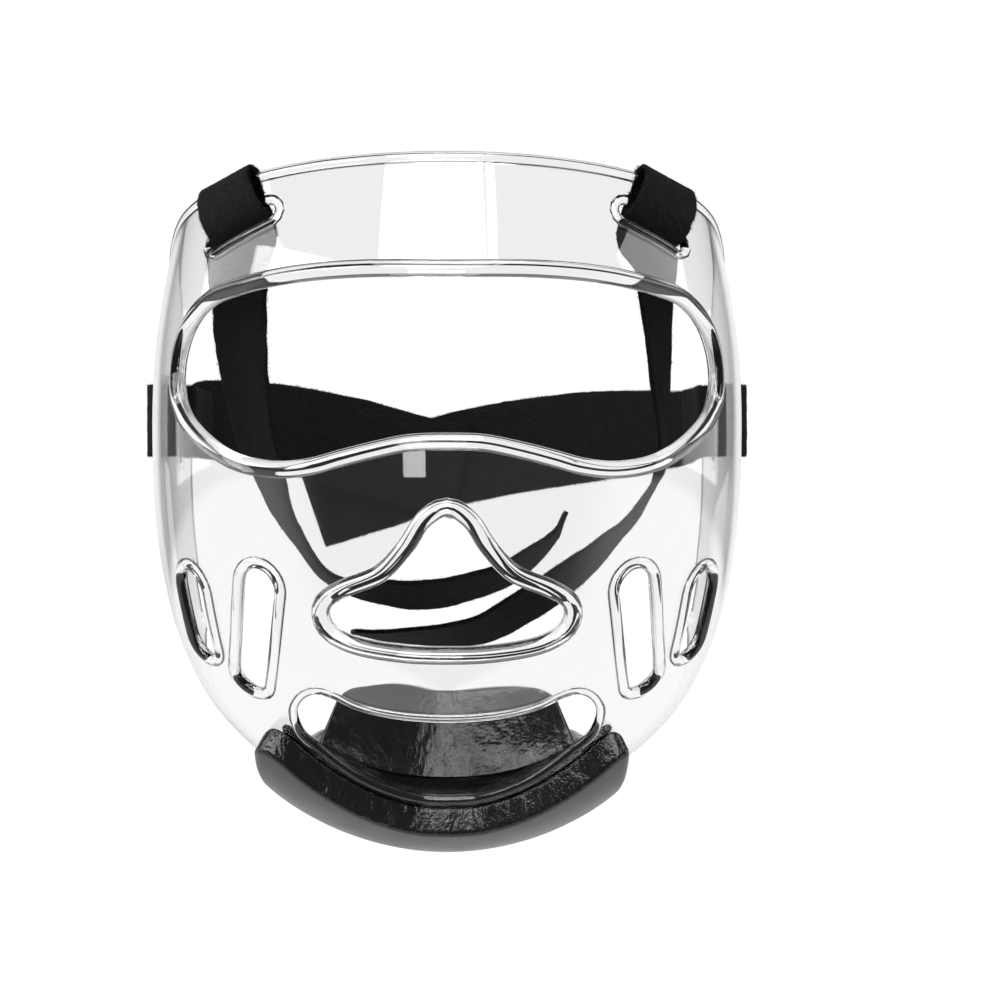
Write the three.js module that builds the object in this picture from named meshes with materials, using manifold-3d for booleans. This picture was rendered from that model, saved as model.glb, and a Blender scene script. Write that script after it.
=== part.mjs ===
import * as THREE from 'three';
import { mergeVertices } from 'three/addons/utils/BufferGeometryUtils.js';
import Module from 'manifold-3d';

// Clear moulded face shield with a foam chin guard and hook-and-loop straps.
// Millimetres, +Z up, the wearer looks along -Y. The origin is the middle of the brow's inner
// face, where the shield sits against the forehead.

const shieldWidth = 226;
const shieldHeight = 254.7;
const shieldDepth = 138;
const wall = 2.6;
const seatDrop = 23.7; // from the top edge down to the brow seat
const clearance = 0.3; // left between pieces that touch
const padGlue = 0.7; // glue line between the shell's curved wall and a pad

const eyeSide = 14; // band left between the eye opening and the shield's side
const eyeWidth = shieldWidth - 2 * eyeSide;
const eyeHeight = 66;
const eyeDrop = 46.7; // from the top edge down to the opening, as for the next ones
const eyeBead = 3.2; // radius of the rounded bead round the opening
const noseWidth = 85;
const noseHeight = 47.2;
const noseDrop = 132.7;
const noseBead = 3.4;
const mouthWidth = 112;
const mouthHeight = 42;
const mouthDrop = 198.2;
const mouthBead = 1.8;
const ventWidth = 13;
const outerVentWidth = 15;
const ventBead = 2.4;
const slotLength = 31;
const slotWidth = 6;
const slotBead = 2;
const lipRadius = 2.3; // rolled lip along the top edge

const strapThickness = 1.8;
const topStrapWidth = 25;
const sideStrapWidth = 40;
const sideSlotWidth = 5;
const sideSlotInset = 11; // from the rear edge forward to the side slot's middle
const sideSlotPlay = 9; // how much longer the side slot is than its strap is wide
const sideSlotPlace = 0.375; // share of the height down to the middle of the side slots
const sideLoopRise = 6.2; // how far the side strap's loop stands off the shell
const shortEnd = 28; // how far below the slot the top strap's short end reaches
const loopPlay = 16; // how far inside the shell the top strap's loop stands

const guardThickness = 10;
const guardReach = 46; // degrees that the chin guard reaches to each side of the middle
const linerThickness = 4;
const linerReach = 39; // degrees, as for the guard
const linerRise = 21; // how much thicker the liner is at the back of its middle
const linerSideRise = 17; // the same at the sides
const linerSwell = 1.4; // power that brings that thickness on towards the back
const linerCrown = 1.3; // power that narrows the thick stretch in the middle
const linerBack = 0.965; // where the liner's rear edge lies, from 0 at the brow to 1 at the chin edge
const linerTop = 0.014; // how far the liner starts below the guard's top edge, in the same measure
const padHeight = 27;
const padCornerDrop = 5; // how far the pad's top corners are below its middle
const padFront = 0.78; // how far back on the liner the pad's front face stands, from 0 to 1
const padReach = 0.8; // share of the liner's width that the pad spans
const padSweep = 0.25; // how far the pad's ends stand forward, as a share of the liner's depth

// How finely each face is cut, and how closely a place on the shell is looked for.
const count = {
  shellAcross: 32, shellDown: 24, lip: 20, beadSides: 5,
  eye: 36, nose: 20, mouth: 24, vent: 10, slot: 8,
  guardAcross: 22, guardDown: 7, linerAcross: 20, linerDown: 8, padAcross: 16, padDown: 4,
  topStrap: 74, sideStrap: 44, halvings: 40,
};
const lipEndGap = 0.02; // radians that the lip's ends stop short of the rear edge
const lipPlace = 0.004; // how far down the shell the lip's middle line runs, from 0 to 1
const plugReach = 4; // how far the plug that cuts an opening stands out of the wall on both sides
const plugShares = [0.02, 0.35, 0.7, 1]; // its rings, as shares of the way out to its rim
const weld = 1e-5;
const slopeStep = 1e-4;

// The shell's rows from the top edge to the chin edge. drop and sideDrop are shares of the height,
// depth and sideDepth of the depth, halfWidth of half the width. drop and depth are where the row
// crosses the middle, the side values where it is widest. square above 0 fills the row's shoulders
// out. wrap is how many degrees round the row goes.
const shellRows = [
  { drop: 0, depth: 0.181, halfWidth: 0.92, sideDepth: 0.703, sideDrop: 0.105, square: 0.1, wrap: 80 },
  { drop: 0.085, depth: 0.123, halfWidth: 0.947, sideDepth: 0.703, sideDrop: 0.16, square: 0.14, wrap: 95 },
  { drop: 0.172, depth: 0.072, halfWidth: 0.973, sideDepth: 0.703, sideDrop: 0.223, square: 0.18, wrap: 104 },
  { drop: 0.301, depth: 0.025, halfWidth: 0.996, sideDepth: 0.703, sideDrop: 0.317, square: 0.2, wrap: 109 },
  { drop: 0.415, depth: 0, halfWidth: 0.999, sideDepth: 0.703, sideDrop: 0.419, square: 0.2, wrap: 111 },
  { drop: 0.51, depth: 0.012, halfWidth: 0.991, sideDepth: 0.703, sideDrop: 0.505, square: 0.18, wrap: 111 },
  { drop: 0.615, depth: 0.043, halfWidth: 0.969, sideDepth: 0.703, sideDrop: 0.592, square: 0.12, wrap: 111 },
  { drop: 0.72, depth: 0.099, halfWidth: 0.934, sideDepth: 0.707, sideDrop: 0.662, square: 0.02, wrap: 110 },
  { drop: 0.812, depth: 0.239, halfWidth: 0.903, sideDepth: 0.742, sideDrop: 0.706, square: -0.08, wrap: 108 },
  { drop: 0.945, depth: 0.507, halfWidth: 0.872, sideDepth: 0.835, sideDrop: 0.733, square: -0.2, wrap: 103 },
  { drop: 1, depth: 0.855, halfWidth: 0.85, sideDepth: 0.9, sideDrop: 0.757, square: -0.29, wrap: 94 },
];

// Right halves of the openings, from the middle of the top round to the middle of the bottom.
// across is a share of half the opening's width, down of its height.
const eyeOutline = [
  { across: 0, down: 0 }, { across: 0.35, down: 0 }, { across: 0.6, down: 0.03 },
  { across: 0.78, down: 0.085 }, { across: 0.87, down: 0.13 }, { across: 0.945, down: 0.235 },
  { across: 0.99, down: 0.39 }, { across: 1, down: 0.56 }, { across: 0.975, down: 0.7 },
  { across: 0.9, down: 0.83 }, { across: 0.77, down: 0.955 }, { across: 0.625, down: 1 },
  { across: 0.5, down: 0.985 }, { across: 0.4, down: 0.945 }, { across: 0.28, down: 0.9 },
  { across: 0.14, down: 0.858 }, { across: 0, down: 0.85 },
];
const noseOutline = [
  { across: 0, down: 0 }, { across: 0.13, down: 0.07 }, { across: 0.29, down: 0.28 },
  { across: 0.52, down: 0.49 }, { across: 0.86, down: 0.62 }, { across: 0.99, down: 0.7 },
  { across: 0.98, down: 0.81 }, { across: 0.82, down: 0.91 }, { across: 0.4, down: 0.985 },
  { across: 0, down: 1 },
];
const mouthOutline = [
  { across: 0, down: 0.243 }, { across: 0.35, down: 0.21 }, { across: 0.6, down: 0.133 },
  { across: 0.76, down: 0.03 }, { across: 0.86, down: 0 }, { across: 0.95, down: 0.06 },
  { across: 1, down: 0.19 }, { across: 0.96, down: 0.38 }, { across: 0.85, down: 0.51 },
  { across: 0.73, down: 0.645 }, { across: 0.59, down: 0.775 }, { across: 0.45, down: 0.87 },
  { across: 0.31, down: 0.94 }, { across: 0.16, down: 0.985 }, { across: 0, down: 0.995 },
];

// Ends of the long holes' middle lines on the right side. out is a share of half the shield's
// width, drop of its height.
const innerVentEnds = [{ out: 0.612, drop: 0.61 }, { out: 0.64, drop: 0.744 }];
const outerVentEnds = [{ out: 0.838, drop: 0.61 }, { out: 0.805, drop: 0.705 }];
const slotMiddle = { out: 0.674, drop: 0.104 };
const slotSlope = 18; // degrees that the top slots slope down outward

// The chin guard's upper edge along the jaw: across is a share of the guard's reach, v the place
// down the shell. It follows the mouth's lower edge, and past the corner it falls back.
const jawLine = [
  { across: 0, v: 0.858 }, { across: 0.13, v: 0.858 }, { across: 0.26, v: 0.848 },
  { across: 0.4, v: 0.832 }, { across: 0.55, v: 0.808 }, { across: 0.68, v: 0.783 },
  { across: 0.79, v: 0.758 }, { across: 0.9, v: 0.757 }, { across: 1, v: 0.79 },
];

// The top strap's loop, from inside over the top edge and in at the slot. up and out are measured
// from the top edge or the slot's middle, as shares of the strap's rise over the lip, and walls is
// how many wall thicknesses in.
const topLoop = [
  { from: 'edge', up: -2.9, out: -2.74, walls: 0.5 },
  { from: 'edge', up: -0.57, out: -1.86, walls: 0.5 },
  { from: 'edge', up: 0.7, out: -0.9, walls: 0.5 },
  { from: 'edge', up: 1.23, out: 0, walls: 0.5 },
  { from: 'edge', up: 0.6, out: 1.29, walls: 0.5 },
  { from: 'edge', up: -1.71, out: 1.23, walls: 0 },
  { from: 'slot', up: 1.43, out: 1.09, walls: 0 },
  { from: 'slot', up: 0.17, out: 0.46, walls: 0 },
  { from: 'slot', up: -0.43, out: -0.29, walls: 1 },
];

// The side strap's loop, from its short end inside, out through the slot and back over the rear
// edge. rear is a share of the slot's inset, out of the loop's rise.
const sideLoop = [
  { rear: 3.73, out: -0.42, walls: 0 },
  { rear: 2.82, out: -0.55, walls: 0 },
  { rear: 1.91, out: -0.77, walls: 0 },
  { rear: 1, out: -0.74, walls: 1 },
  { rear: 0.36, out: -0.87, walls: 1 },
  { rear: 0, out: -0.23, walls: 1 },
  { rear: 0, out: 0.32, walls: 0 },
  { rear: 0.32, out: 0.89, walls: 0 },
  { rear: 0.82, out: 1, walls: 0 },
  { rear: 1.55, out: 0.52, walls: 0 },
  { rear: 2.27, out: 0.03, walls: 0 },
];

// How the top straps' tails hang, from the slot to the free end. out is a share of half the
// width, towards the strap's own side, drop of the height and depth of the depth. turn is how many
// degrees the webbing is turned edge-on to the front.
const leftTail = [
  { out: 0.685, drop: 0.2, depth: 0.34, turn: 33 },
  { out: 0.676, drop: 0.262, depth: 0.36, turn: 38 },
  { out: 0.666, drop: 0.32, depth: 0.4, turn: 46 },
  { out: 0.64, drop: 0.4, depth: 0.48, turn: 57 },
  { out: 0.597, drop: 0.467, depth: 0.58, turn: 66 },
  { out: 0.552, drop: 0.52, depth: 0.63, turn: 73 },
  { out: 0.495, drop: 0.562, depth: 0.66, turn: 79 },
  { out: 0.415, drop: 0.609, depth: 0.67, turn: 80 },
  { out: 0.327, drop: 0.629, depth: 0.67, turn: 76 },
  { out: 0.222, drop: 0.636, depth: 0.67, turn: 68 },
  { out: 0.117, drop: 0.641, depth: 0.67, turn: 64 },
  { out: 0.023, drop: 0.638, depth: 0.67, turn: 64 },
  { out: -0.085, drop: 0.627, depth: 0.67, turn: 66 },
  { out: -0.188, drop: 0.612, depth: 0.68, turn: 68 },
  { out: -0.277, drop: 0.586, depth: 0.69, turn: 72 },
  { out: -0.33, drop: 0.568, depth: 0.7, turn: 78 },
  { out: -0.377, drop: 0.545, depth: 0.71, turn: 84 },
  { out: -0.396, drop: 0.526, depth: 0.72, turn: 88 },
];
const rightTail = [
  { out: 0.695, drop: 0.2, depth: 0.365, turn: 60 },
  { out: 0.7, drop: 0.262, depth: 0.41, turn: 67 },
  { out: 0.712, drop: 0.32, depth: 0.48, turn: 73 },
  { out: 0.73, drop: 0.4, depth: 0.6, turn: 80 },
  { out: 0.716, drop: 0.464, depth: 0.74, turn: 84 },
  { out: 0.688, drop: 0.49, depth: 0.8, turn: 84 },
  { out: 0.632, drop: 0.527, depth: 0.86, turn: 80 },
  { out: 0.57, drop: 0.556, depth: 0.9, turn: 74 },
  { out: 0.5, drop: 0.588, depth: 0.92, turn: 66 },
  { out: 0.42, drop: 0.617, depth: 0.92, turn: 60 },
  { out: 0.333, drop: 0.645, depth: 0.92, turn: 58 },
  { out: 0.23, drop: 0.673, depth: 0.92, turn: 58 },
  { out: 0.128, drop: 0.696, depth: 0.91, turn: 62 },
  { out: 0.004, drop: 0.706, depth: 0.9, turn: 68 },
  { out: -0.11, drop: 0.707, depth: 0.89, turn: 74 },
  { out: -0.22, drop: 0.706, depth: 0.88, turn: 80 },
  { out: -0.325, drop: 0.7, depth: 0.87, turn: 86 },
];

// How the side straps run from the rear edge round behind the head. lean is how many degrees the
// webbing's upper edge leans back.
const leftSideRun = [
  { out: 0.885, drop: 0.372, depth: 1.19, lean: 0 },
  { out: 0.77, drop: 0.379, depth: 1.35, lean: 0 },
  { out: 0.57, drop: 0.39, depth: 1.55, lean: 2 },
  { out: 0.34, drop: 0.409, depth: 1.67, lean: 4 },
  { out: 0.13, drop: 0.432, depth: 1.715, lean: 4 },
  { out: -0.06, drop: 0.452, depth: 1.72, lean: 4 },
];
const rightSideRun = [
  { out: 0.885, drop: 0.382, depth: 1.19, lean: 0 },
  { out: 0.77, drop: 0.385, depth: 1.36, lean: 0 },
  { out: 0.56, drop: 0.392, depth: 1.57, lean: 2 },
  { out: 0.33, drop: 0.403, depth: 1.7, lean: 4 },
  { out: 0.07, drop: 0.424, depth: 1.76, lean: 4 },
  { out: -0.15, drop: 0.452, depth: 1.762, lean: 6 },
  { out: -0.35, drop: 0.48, depth: 1.745, lean: 10 },
  { out: -0.52, drop: 0.503, depth: 1.71, lean: 14 },
];

// A smooth line through one named column of a table, running from 0 to 1.
function smoothColumn(places, rows, key) {
  const values = rows.map((row) => row[key]);
  const last = values.length - 1;
  const upper = new Array(last + 1).fill(0);
  const right = new Array(last + 1).fill(0);
  for (let i = 1; i < last; i++) {
    const before = places[i] - places[i - 1];
    const after = places[i + 1] - places[i];
    const slopeAfter = (values[i + 1] - values[i]) / after;
    const slopeBefore = (values[i] - values[i - 1]) / before;
    const pivot = 2 * (before + after) - before * upper[i - 1];
    upper[i] = after / pivot;
    right[i] = (6 * (slopeAfter - slopeBefore) - before * right[i - 1]) / pivot;
  }
  const bend = new Array(last + 1).fill(0);
  for (let i = last - 1; i > 0; i--) {
    bend[i] = right[i] - upper[i] * bend[i + 1];
  }
  return (place) => {
    let i = 0;
    while (i < last - 1 && place > places[i + 1]) {
      i++;
    }
    const step = places[i + 1] - places[i];
    const b = (place - places[i]) / step;
    const a = 1 - b;
    const cubic = (a ** 3 - a) * bend[i] + (b ** 3 - b) * bend[i + 1];
    return a * values[i] + b * values[i + 1] + (cubic * step * step) / 6;
  };
}

// Where each row lies along the middle line, from 0 at the top edge to 1 at the chin edge.
function rowPlaces() {
  const places = [0];
  for (let i = 1; i < shellRows.length; i++) {
    const down = (shellRows[i].drop - shellRows[i - 1].drop) * shieldHeight;
    const back = (shellRows[i].depth - shellRows[i - 1].depth) * shieldDepth;
    places.push(places[i - 1] + Math.hypot(down, back));
  }
  return places.map((place) => place / places[places.length - 1]);
}

const places = rowPlaces();
const rowAt = {};
for (const key of Object.keys(shellRows[0])) {
  rowAt[key] = smoothColumn(places, shellRows, key);
}

// The seat's own depth behind the foremost point of the shell, worked out from the row there.
const seatPlace = seatDrop / shieldHeight / (shellRows[1].drop / places[1]);
const seatDepth = rowAt.depth(seatPlace) * shieldDepth + wall;

const heightOf = (drop) => seatDrop - drop * shieldHeight;
const depthOf = (share) => share * shieldDepth - seatDepth;
const outOf = (share) => (share * shieldWidth) / 2;
const wrapAt = (v) => THREE.MathUtils.degToRad(rowAt.wrap(v));
const jawAt = smoothColumn(jawLine.map((row) => row.across), jawLine, 'v');

// A point of the shell's outer face: angle goes round from the middle, v down from the top edge.
function shellPoint(angle, v) {
  const sine = Math.sin(angle);
  const share = Math.cos(angle) * (1 + rowAt.square(v) * sine * sine);
  const sideDepth = rowAt.sideDepth(v);
  const sideDrop = rowAt.sideDrop(v);
  return new THREE.Vector3(
    outOf(rowAt.halfWidth(v)) * sine,
    depthOf(sideDepth - (sideDepth - rowAt.depth(v)) * share),
    heightOf(sideDrop - (sideDrop - rowAt.drop(v)) * share),
  );
}

// The two directions of the shell's face at a point, and the direction straight out of it.
function shellFrame(angle, v) {
  const place = shellPoint(angle, v);
  const round = shellPoint(angle + slopeStep, v).sub(place).divideScalar(slopeStep);
  const side = v > 0.5 ? -slopeStep : slopeStep;
  const down = shellPoint(angle, v + side).sub(place).divideScalar(side);
  const out = new THREE.Vector3().crossVectors(round, down).negate().normalize();
  return { place, round, down, out };
}

// A point at a distance out from the shell's outer face, or inside it where that is below 0.
function offShell(angle, v, distance) {
  const { place, out } = shellFrame(angle, v);
  return place.addScaledVector(out, distance);
}

// The angle and v of the front point of the shell that lies at x and z.
function spotAt(x, z) {
  let low = 0;
  let high = 1;
  let angle = 0;
  for (let i = 0; i < count.halvings; i++) {
    const v = (low + high) / 2;
    angle = Math.asin(THREE.MathUtils.clamp(x / outOf(rowAt.halfWidth(v)), -1, 1));
    if (shellPoint(angle, v).z > z) {
      low = v;
    } else {
      high = v;
    }
  }
  return { angle, v: (low + high) / 2 };
}

// The spot reached from another by a step across the shell's face.
function stepOnShell(spot, step) {
  const { round, down } = shellFrame(spot.angle, spot.v);
  const rr = round.dot(round);
  const dd = down.dot(down);
  const rd = round.dot(down);
  const span = rr * dd - rd * rd;
  const alongRound = step.dot(round);
  const alongDown = step.dot(down);
  return {
    angle: spot.angle + (alongRound * dd - alongDown * rd) / span,
    v: spot.v + (alongDown * rr - alongRound * rd) / span,
  };
}

// A closed body from rings of points. Each ring joins the next, and the ends are closed off, or
// the last ring joins the first.
function loft(rings, looped = false) {
  const size = rings[0].length;
  const points = rings.flat();
  const faces = [];
  const last = looped ? rings.length : rings.length - 1;
  for (let i = 0; i < last; i++) {
    const here = i * size;
    const next = ((i + 1) % rings.length) * size;
    for (let j = 0; j < size; j++) {
      const k = (j + 1) % size;
      faces.push(here + j, next + j, next + k, here + j, next + k, here + k);
    }
  }
  if (!looped) {
    closeEnd(points, faces, 0, size, false);
    closeEnd(points, faces, (rings.length - 1) * size, size, true);
  }
  return solid(points, faces);
}

// Closes off one end ring, whose first half faces its second half across the wall.
function closeEnd(points, faces, start, size, flip) {
  for (let j = 0; j < size / 2 - 1; j++) {
    const a = start + j;
    const b = start + j + 1;
    const c = start + size - 2 - j;
    const d = start + size - 1 - j;
    const corners = flip ? [a, d, c, a, c, b] : [a, c, d, a, b, c];
    for (let k = 0; k < corners.length; k += 3) {
      const [p, q, r] = corners.slice(k, k + 3);
      if (p !== q && q !== r && r !== p) {
        faces.push(p, q, r);
      }
    }
  }
}

// A body's geometry from its points and triangles, turned so that its faces point out.
function solid(points, faces) {
  const normal = new THREE.Vector3();
  let volume = 0;
  for (let i = 0; i < faces.length; i += 3) {
    const [p, q, r] = [points[faces[i]], points[faces[i + 1]], points[faces[i + 2]]];
    volume += normal.crossVectors(p, q).dot(r) / 6;
  }
  const geometry = new THREE.BufferGeometry().setFromPoints(points);
  geometry.setIndex(volume < 0 ? faces.reverse() : faces);
  return geometry;
}

const manifold = await Module();
manifold.setup();

function toManifold(geometry) {
  const merged = mergeVertices(geometry, weld);
  const mesh = new manifold.Mesh({
    numProp: 3,
    vertProperties: new Float32Array(merged.attributes.position.array),
    triVerts: new Uint32Array(merged.index.array),
  });
  return new manifold.Manifold(mesh);
}

function toGeometry(body) {
  const mesh = body.getMesh();
  const geometry = new THREE.BufferGeometry();
  geometry.setAttribute('position', new THREE.BufferAttribute(mesh.vertProperties, 3));
  geometry.setIndex(new THREE.BufferAttribute(mesh.triVerts, 1));
  return geometry;
}

// A wall between two faces given as functions of u and w from 0 to 1.
function slab(across, down, front, back) {
  const rings = [];
  for (let i = 0; i <= across; i++) {
    const ring = [];
    for (let j = 0; j <= down; j++) {
      ring.push(front(i / across, j / down));
    }
    for (let j = down; j >= 0; j--) {
      ring.push(back(i / across, j / down));
    }
    rings.push(ring);
  }
  return loft(rings);
}

// A rounded bead of a given radius along spots on the shell's middle layer.
function bead(spots, radius, looped) {
  const centres = spots.map((spot) => offShell(spot.angle, spot.v, -wall / 2));
  const total = centres.length;
  const rings = centres.map((centre, i) => {
    const before = looped ? centres[(i + total - 1) % total] : centres[Math.max(i - 1, 0)];
    const after = looped ? centres[(i + 1) % total] : centres[Math.min(i + 1, total - 1)];
    const along = after.clone().sub(before).normalize();
    const out = shellFrame(spots[i].angle, spots[i].v).out;
    const side = new THREE.Vector3().crossVectors(along, out).normalize();
    const up = new THREE.Vector3().crossVectors(side, along);
    const ring = [];
    for (let j = 0; j < count.beadSides; j++) {
      const turn = (-2 * Math.PI * (j + 0.5)) / count.beadSides;
      const point = centre.clone().addScaledVector(side, radius * Math.cos(turn));
      ring.push(point.addScaledVector(up, radius * Math.sin(turn)));
    }
    return ring;
  });
  return loft(rings, looped);
}

// A closed line of spots from the right half of an outline, at even steps.
function outlineSpots(outline, width, height, drop, total) {
  const half = outline.map((row) => new THREE.Vector3(
    (row.across * width) / 2, 0, seatDrop - drop - row.down * height,
  ));
  const mirrored = half.slice(1, -1).reverse().map((p) => new THREE.Vector3(-p.x, 0, p.z));
  const curve = new THREE.CatmullRomCurve3([...half, ...mirrored], true, 'centripetal');
  return curve.getSpacedPoints(total).slice(0, total).map((p) => spotAt(p.x, p.z));
}

// A long hole with round ends. Its middle line runs along a direction on the shell's face.
function ovalSpots(centre, along, length, width, total) {
  const frame = shellFrame(centre.angle, centre.v);
  const axis = along.clone().addScaledVector(frame.out, -along.dot(frame.out)).normalize();
  const side = new THREE.Vector3().crossVectors(frame.out, axis);
  const straight = (length - width) / 2;
  const spots = [];
  for (let i = 0; i < total; i++) {
    const turn = (2 * Math.PI * (i + 0.5)) / total;
    const end = Math.sign(Math.cos(turn)) * straight;
    const step = axis.clone().multiplyScalar(end + (width / 2) * Math.cos(turn));
    step.addScaledVector(side, (width / 2) * Math.sin(turn));
    spots.push(stepOnShell(centre, step));
  }
  return spots;
}

// The same line of spots moved outward across the shell's face.
function widen(spots, distance) {
  const total = spots.length;
  const middle = new THREE.Vector3();
  const points = spots.map((spot) => shellPoint(spot.angle, spot.v));
  const outs = spots.map((spot) => shellFrame(spot.angle, spot.v).out);
  points.forEach((point) => middle.addScaledVector(point, 1 / total));
  const turned = points.reduce((sum, point, i) => {
    const edge = points[(i + 1) % total].clone().sub(point);
    const arm = point.clone().sub(middle);
    return sum + arm.cross(edge).dot(outs[i]);
  }, 0);
  const away = Math.sign(turned) * distance;
  return spots.map((spot, i) => {
    const along = points[(i + 1) % total].clone().sub(points[(i + total - 1) % total]).normalize();
    return stepOnShell(spot, along.cross(outs[i]).multiplyScalar(away));
  });
}

// A plug that follows the shell's curve and cuts an opening through it.
function plug(spots) {
  const angle = spots.reduce((sum, spot) => sum + spot.angle, 0) / spots.length;
  const v = spots.reduce((sum, spot) => sum + spot.v, 0) / spots.length;
  const ringAt = (share, distance) => spots.map((spot) => offShell(
    angle + (spot.angle - angle) * share, v + (spot.v - v) * share, distance,
  ));
  const outer = plugShares.map((share) => ringAt(share, plugReach));
  const inner = plugShares.map((share) => ringAt(share, -wall - plugReach)).reverse();
  return loft([...outer, ...inner]);
}

// One opening of the shell: the plug that cuts it and the bead round it.
function opening(spots, beadRadius) {
  const line = widen(spots, beadRadius);
  return { cut: plug(line), rim: bead(line, beadRadius, true) };
}

// A long cheek vent with round ends, between the two ends of its middle line.
function ventBetween(ends, side, width) {
  const spots = ends.map((end) => spotAt(side * outOf(end.out), heightOf(end.drop)));
  const top = shellPoint(spots[0].angle, spots[0].v);
  const bottom = shellPoint(spots[1].angle, spots[1].v);
  const along = bottom.clone().sub(top);
  const centre = spotAt((top.x + bottom.x) / 2, (top.z + bottom.z) / 2);
  return opening(ovalSpots(centre, along, along.length() + width, width, count.vent), ventBead);
}

// The direction of a top slot, and its middle spot. side is -1 on the left and 1 on the right.
function slotFrame(side) {
  const spot = spotAt(side * outOf(slotMiddle.out), heightOf(slotMiddle.drop));
  const frame = shellFrame(spot.angle, spot.v);
  const slope = THREE.MathUtils.degToRad(slotSlope);
  const along = frame.round.clone().normalize().multiplyScalar(side);
  const down = frame.down.clone().addScaledVector(along, -frame.down.dot(along)).normalize();
  const axis = along.multiplyScalar(Math.cos(slope)).addScaledVector(down, Math.sin(slope));
  const up = new THREE.Vector3().crossVectors(axis, frame.out).normalize();
  up.multiplyScalar(Math.sign(up.z));
  return { spot, axis, up, out: frame.out, place: frame.place };
}

// The middle spot of a side slot, in front of the rear edge.
function sideSlotSpot(side) {
  let low = 0;
  let high = 1;
  for (let i = 0; i < count.halvings; i++) {
    const v = (low + high) / 2;
    if (shellPoint(wrapAt(v), v).z > heightOf(sideSlotPlace)) {
      low = v;
    } else {
      high = v;
    }
  }
  const edge = { angle: side * wrapAt(low), v: low };
  const forward = shellFrame(edge.angle, edge.v).round.normalize();
  return stepOnShell(edge, forward.multiplyScalar(-side * sideSlotInset));
}

// The shell's wall before anything is cut out of it.
function shellBody() {
  const spotOf = (u, w) => [(2 * u - 1) * wrapAt(w), w];
  return slab(
    count.shellAcross,
    count.shellDown,
    (u, w) => offShell(...spotOf(u, w), -wall),
    (u, w) => offShell(...spotOf(u, w), 0),
  );
}

// The rolled lip along the top edge.
function topLip() {
  const spots = [];
  for (let i = 0; i <= count.lip; i++) {
    const across = (2 * i) / count.lip - 1;
    spots.push({ angle: across * (wrapAt(0) - lipEndGap), v: lipPlace });
  }
  return bead(spots, lipRadius, false);
}

// The clear shell with its openings, vents, slots, beads and lip.
function shield() {
  const openings = [
    opening(outlineSpots(eyeOutline, eyeWidth, eyeHeight, eyeDrop, count.eye), eyeBead),
    opening(outlineSpots(noseOutline, noseWidth, noseHeight, noseDrop, count.nose), noseBead),
    opening(outlineSpots(mouthOutline, mouthWidth, mouthHeight, mouthDrop, count.mouth), mouthBead),
  ];
  for (const side of [-1, 1]) {
    openings.push(ventBetween(innerVentEnds, side, ventWidth));
    openings.push(ventBetween(outerVentEnds, side, outerVentWidth));
    const slot = slotFrame(side);
    const rim = ovalSpots(slot.spot, slot.axis, slotLength, slotWidth, count.slot);
    openings.push(opening(rim, slotBead));
  }
  let body = toManifold(shellBody());
  for (const { cut } of openings) {
    body = body.subtract(toManifold(cut));
  }
  const slotHeight = sideStrapWidth + sideSlotPlay;
  const upright = new THREE.Vector3(0, 0, 1);
  for (const side of [-1, 1]) {
    const rim = ovalSpots(sideSlotSpot(side), upright, slotHeight, sideSlotWidth, count.slot);
    body = body.subtract(toManifold(plug(rim)));
  }
  for (const { rim } of openings) {
    body = body.add(toManifold(rim));
  }
  return toGeometry(body.add(toManifold(topLip())));
}

// The foam pad round the outside of the chin.
function chinGuard() {
  const reach = THREE.MathUtils.degToRad(guardReach);
  const spotOf = (u, w) => {
    const across = 2 * u - 1;
    const top = jawAt(Math.abs(across));
    return [across * reach, top + (1 - top) * w];
  };
  return slab(
    count.guardAcross,
    count.guardDown,
    (u, w) => offShell(...spotOf(u, w), padGlue),
    (u, w) => offShell(...spotOf(u, w), padGlue + guardThickness),
  );
}

// A point of the liner, on the shell's inner face or raised to the liner's own upper face.
function linerPlace(u, w, raised) {
  const across = 2 * u - 1;
  const reach = THREE.MathUtils.degToRad(linerReach);
  const top = jawAt(Math.abs(across) * (linerReach / guardReach)) + linerTop;
  const v = top + (linerBack - top) * w;
  const middle = Math.cos((across * Math.PI) / 2) ** linerCrown;
  const rise = linerRise * middle + linerSideRise * (1 - middle);
  const thickness = linerThickness + rise * w ** linerSwell;
  return offShell(across * reach, v, -wall - padGlue - (raised ? thickness : 0));
}

// The liner that the chin rests on.
function chinLiner() {
  return slab(
    count.linerAcross,
    count.linerDown,
    (u, w) => linerPlace(u, w, true),
    (u, w) => linerPlace(u, w, false),
  );
}

// The wall pad stands on the back of the liner, with its ends swept forward.
function chinPad() {
  const place = (u, w, behind) => {
    const across = 2 * u - 1;
    const stand = (behind ? 1 : padFront) - padSweep * across * across;
    const foot = linerPlace(0.5 + (across * padReach) / 2, stand, true);
    foot.z += 2 * clearance;
    const top = linerPlace(0.5, 1, true).z + padHeight - padCornerDrop * across ** 4;
    return new THREE.Vector3(foot.x, foot.y, foot.z + (top - foot.z) * (1 - w));
  };
  return slab(
    count.padAcross,
    count.padDown,
    (u, w) => place(u, w, true),
    (u, w) => place(u, w, false),
  );
}

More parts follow.
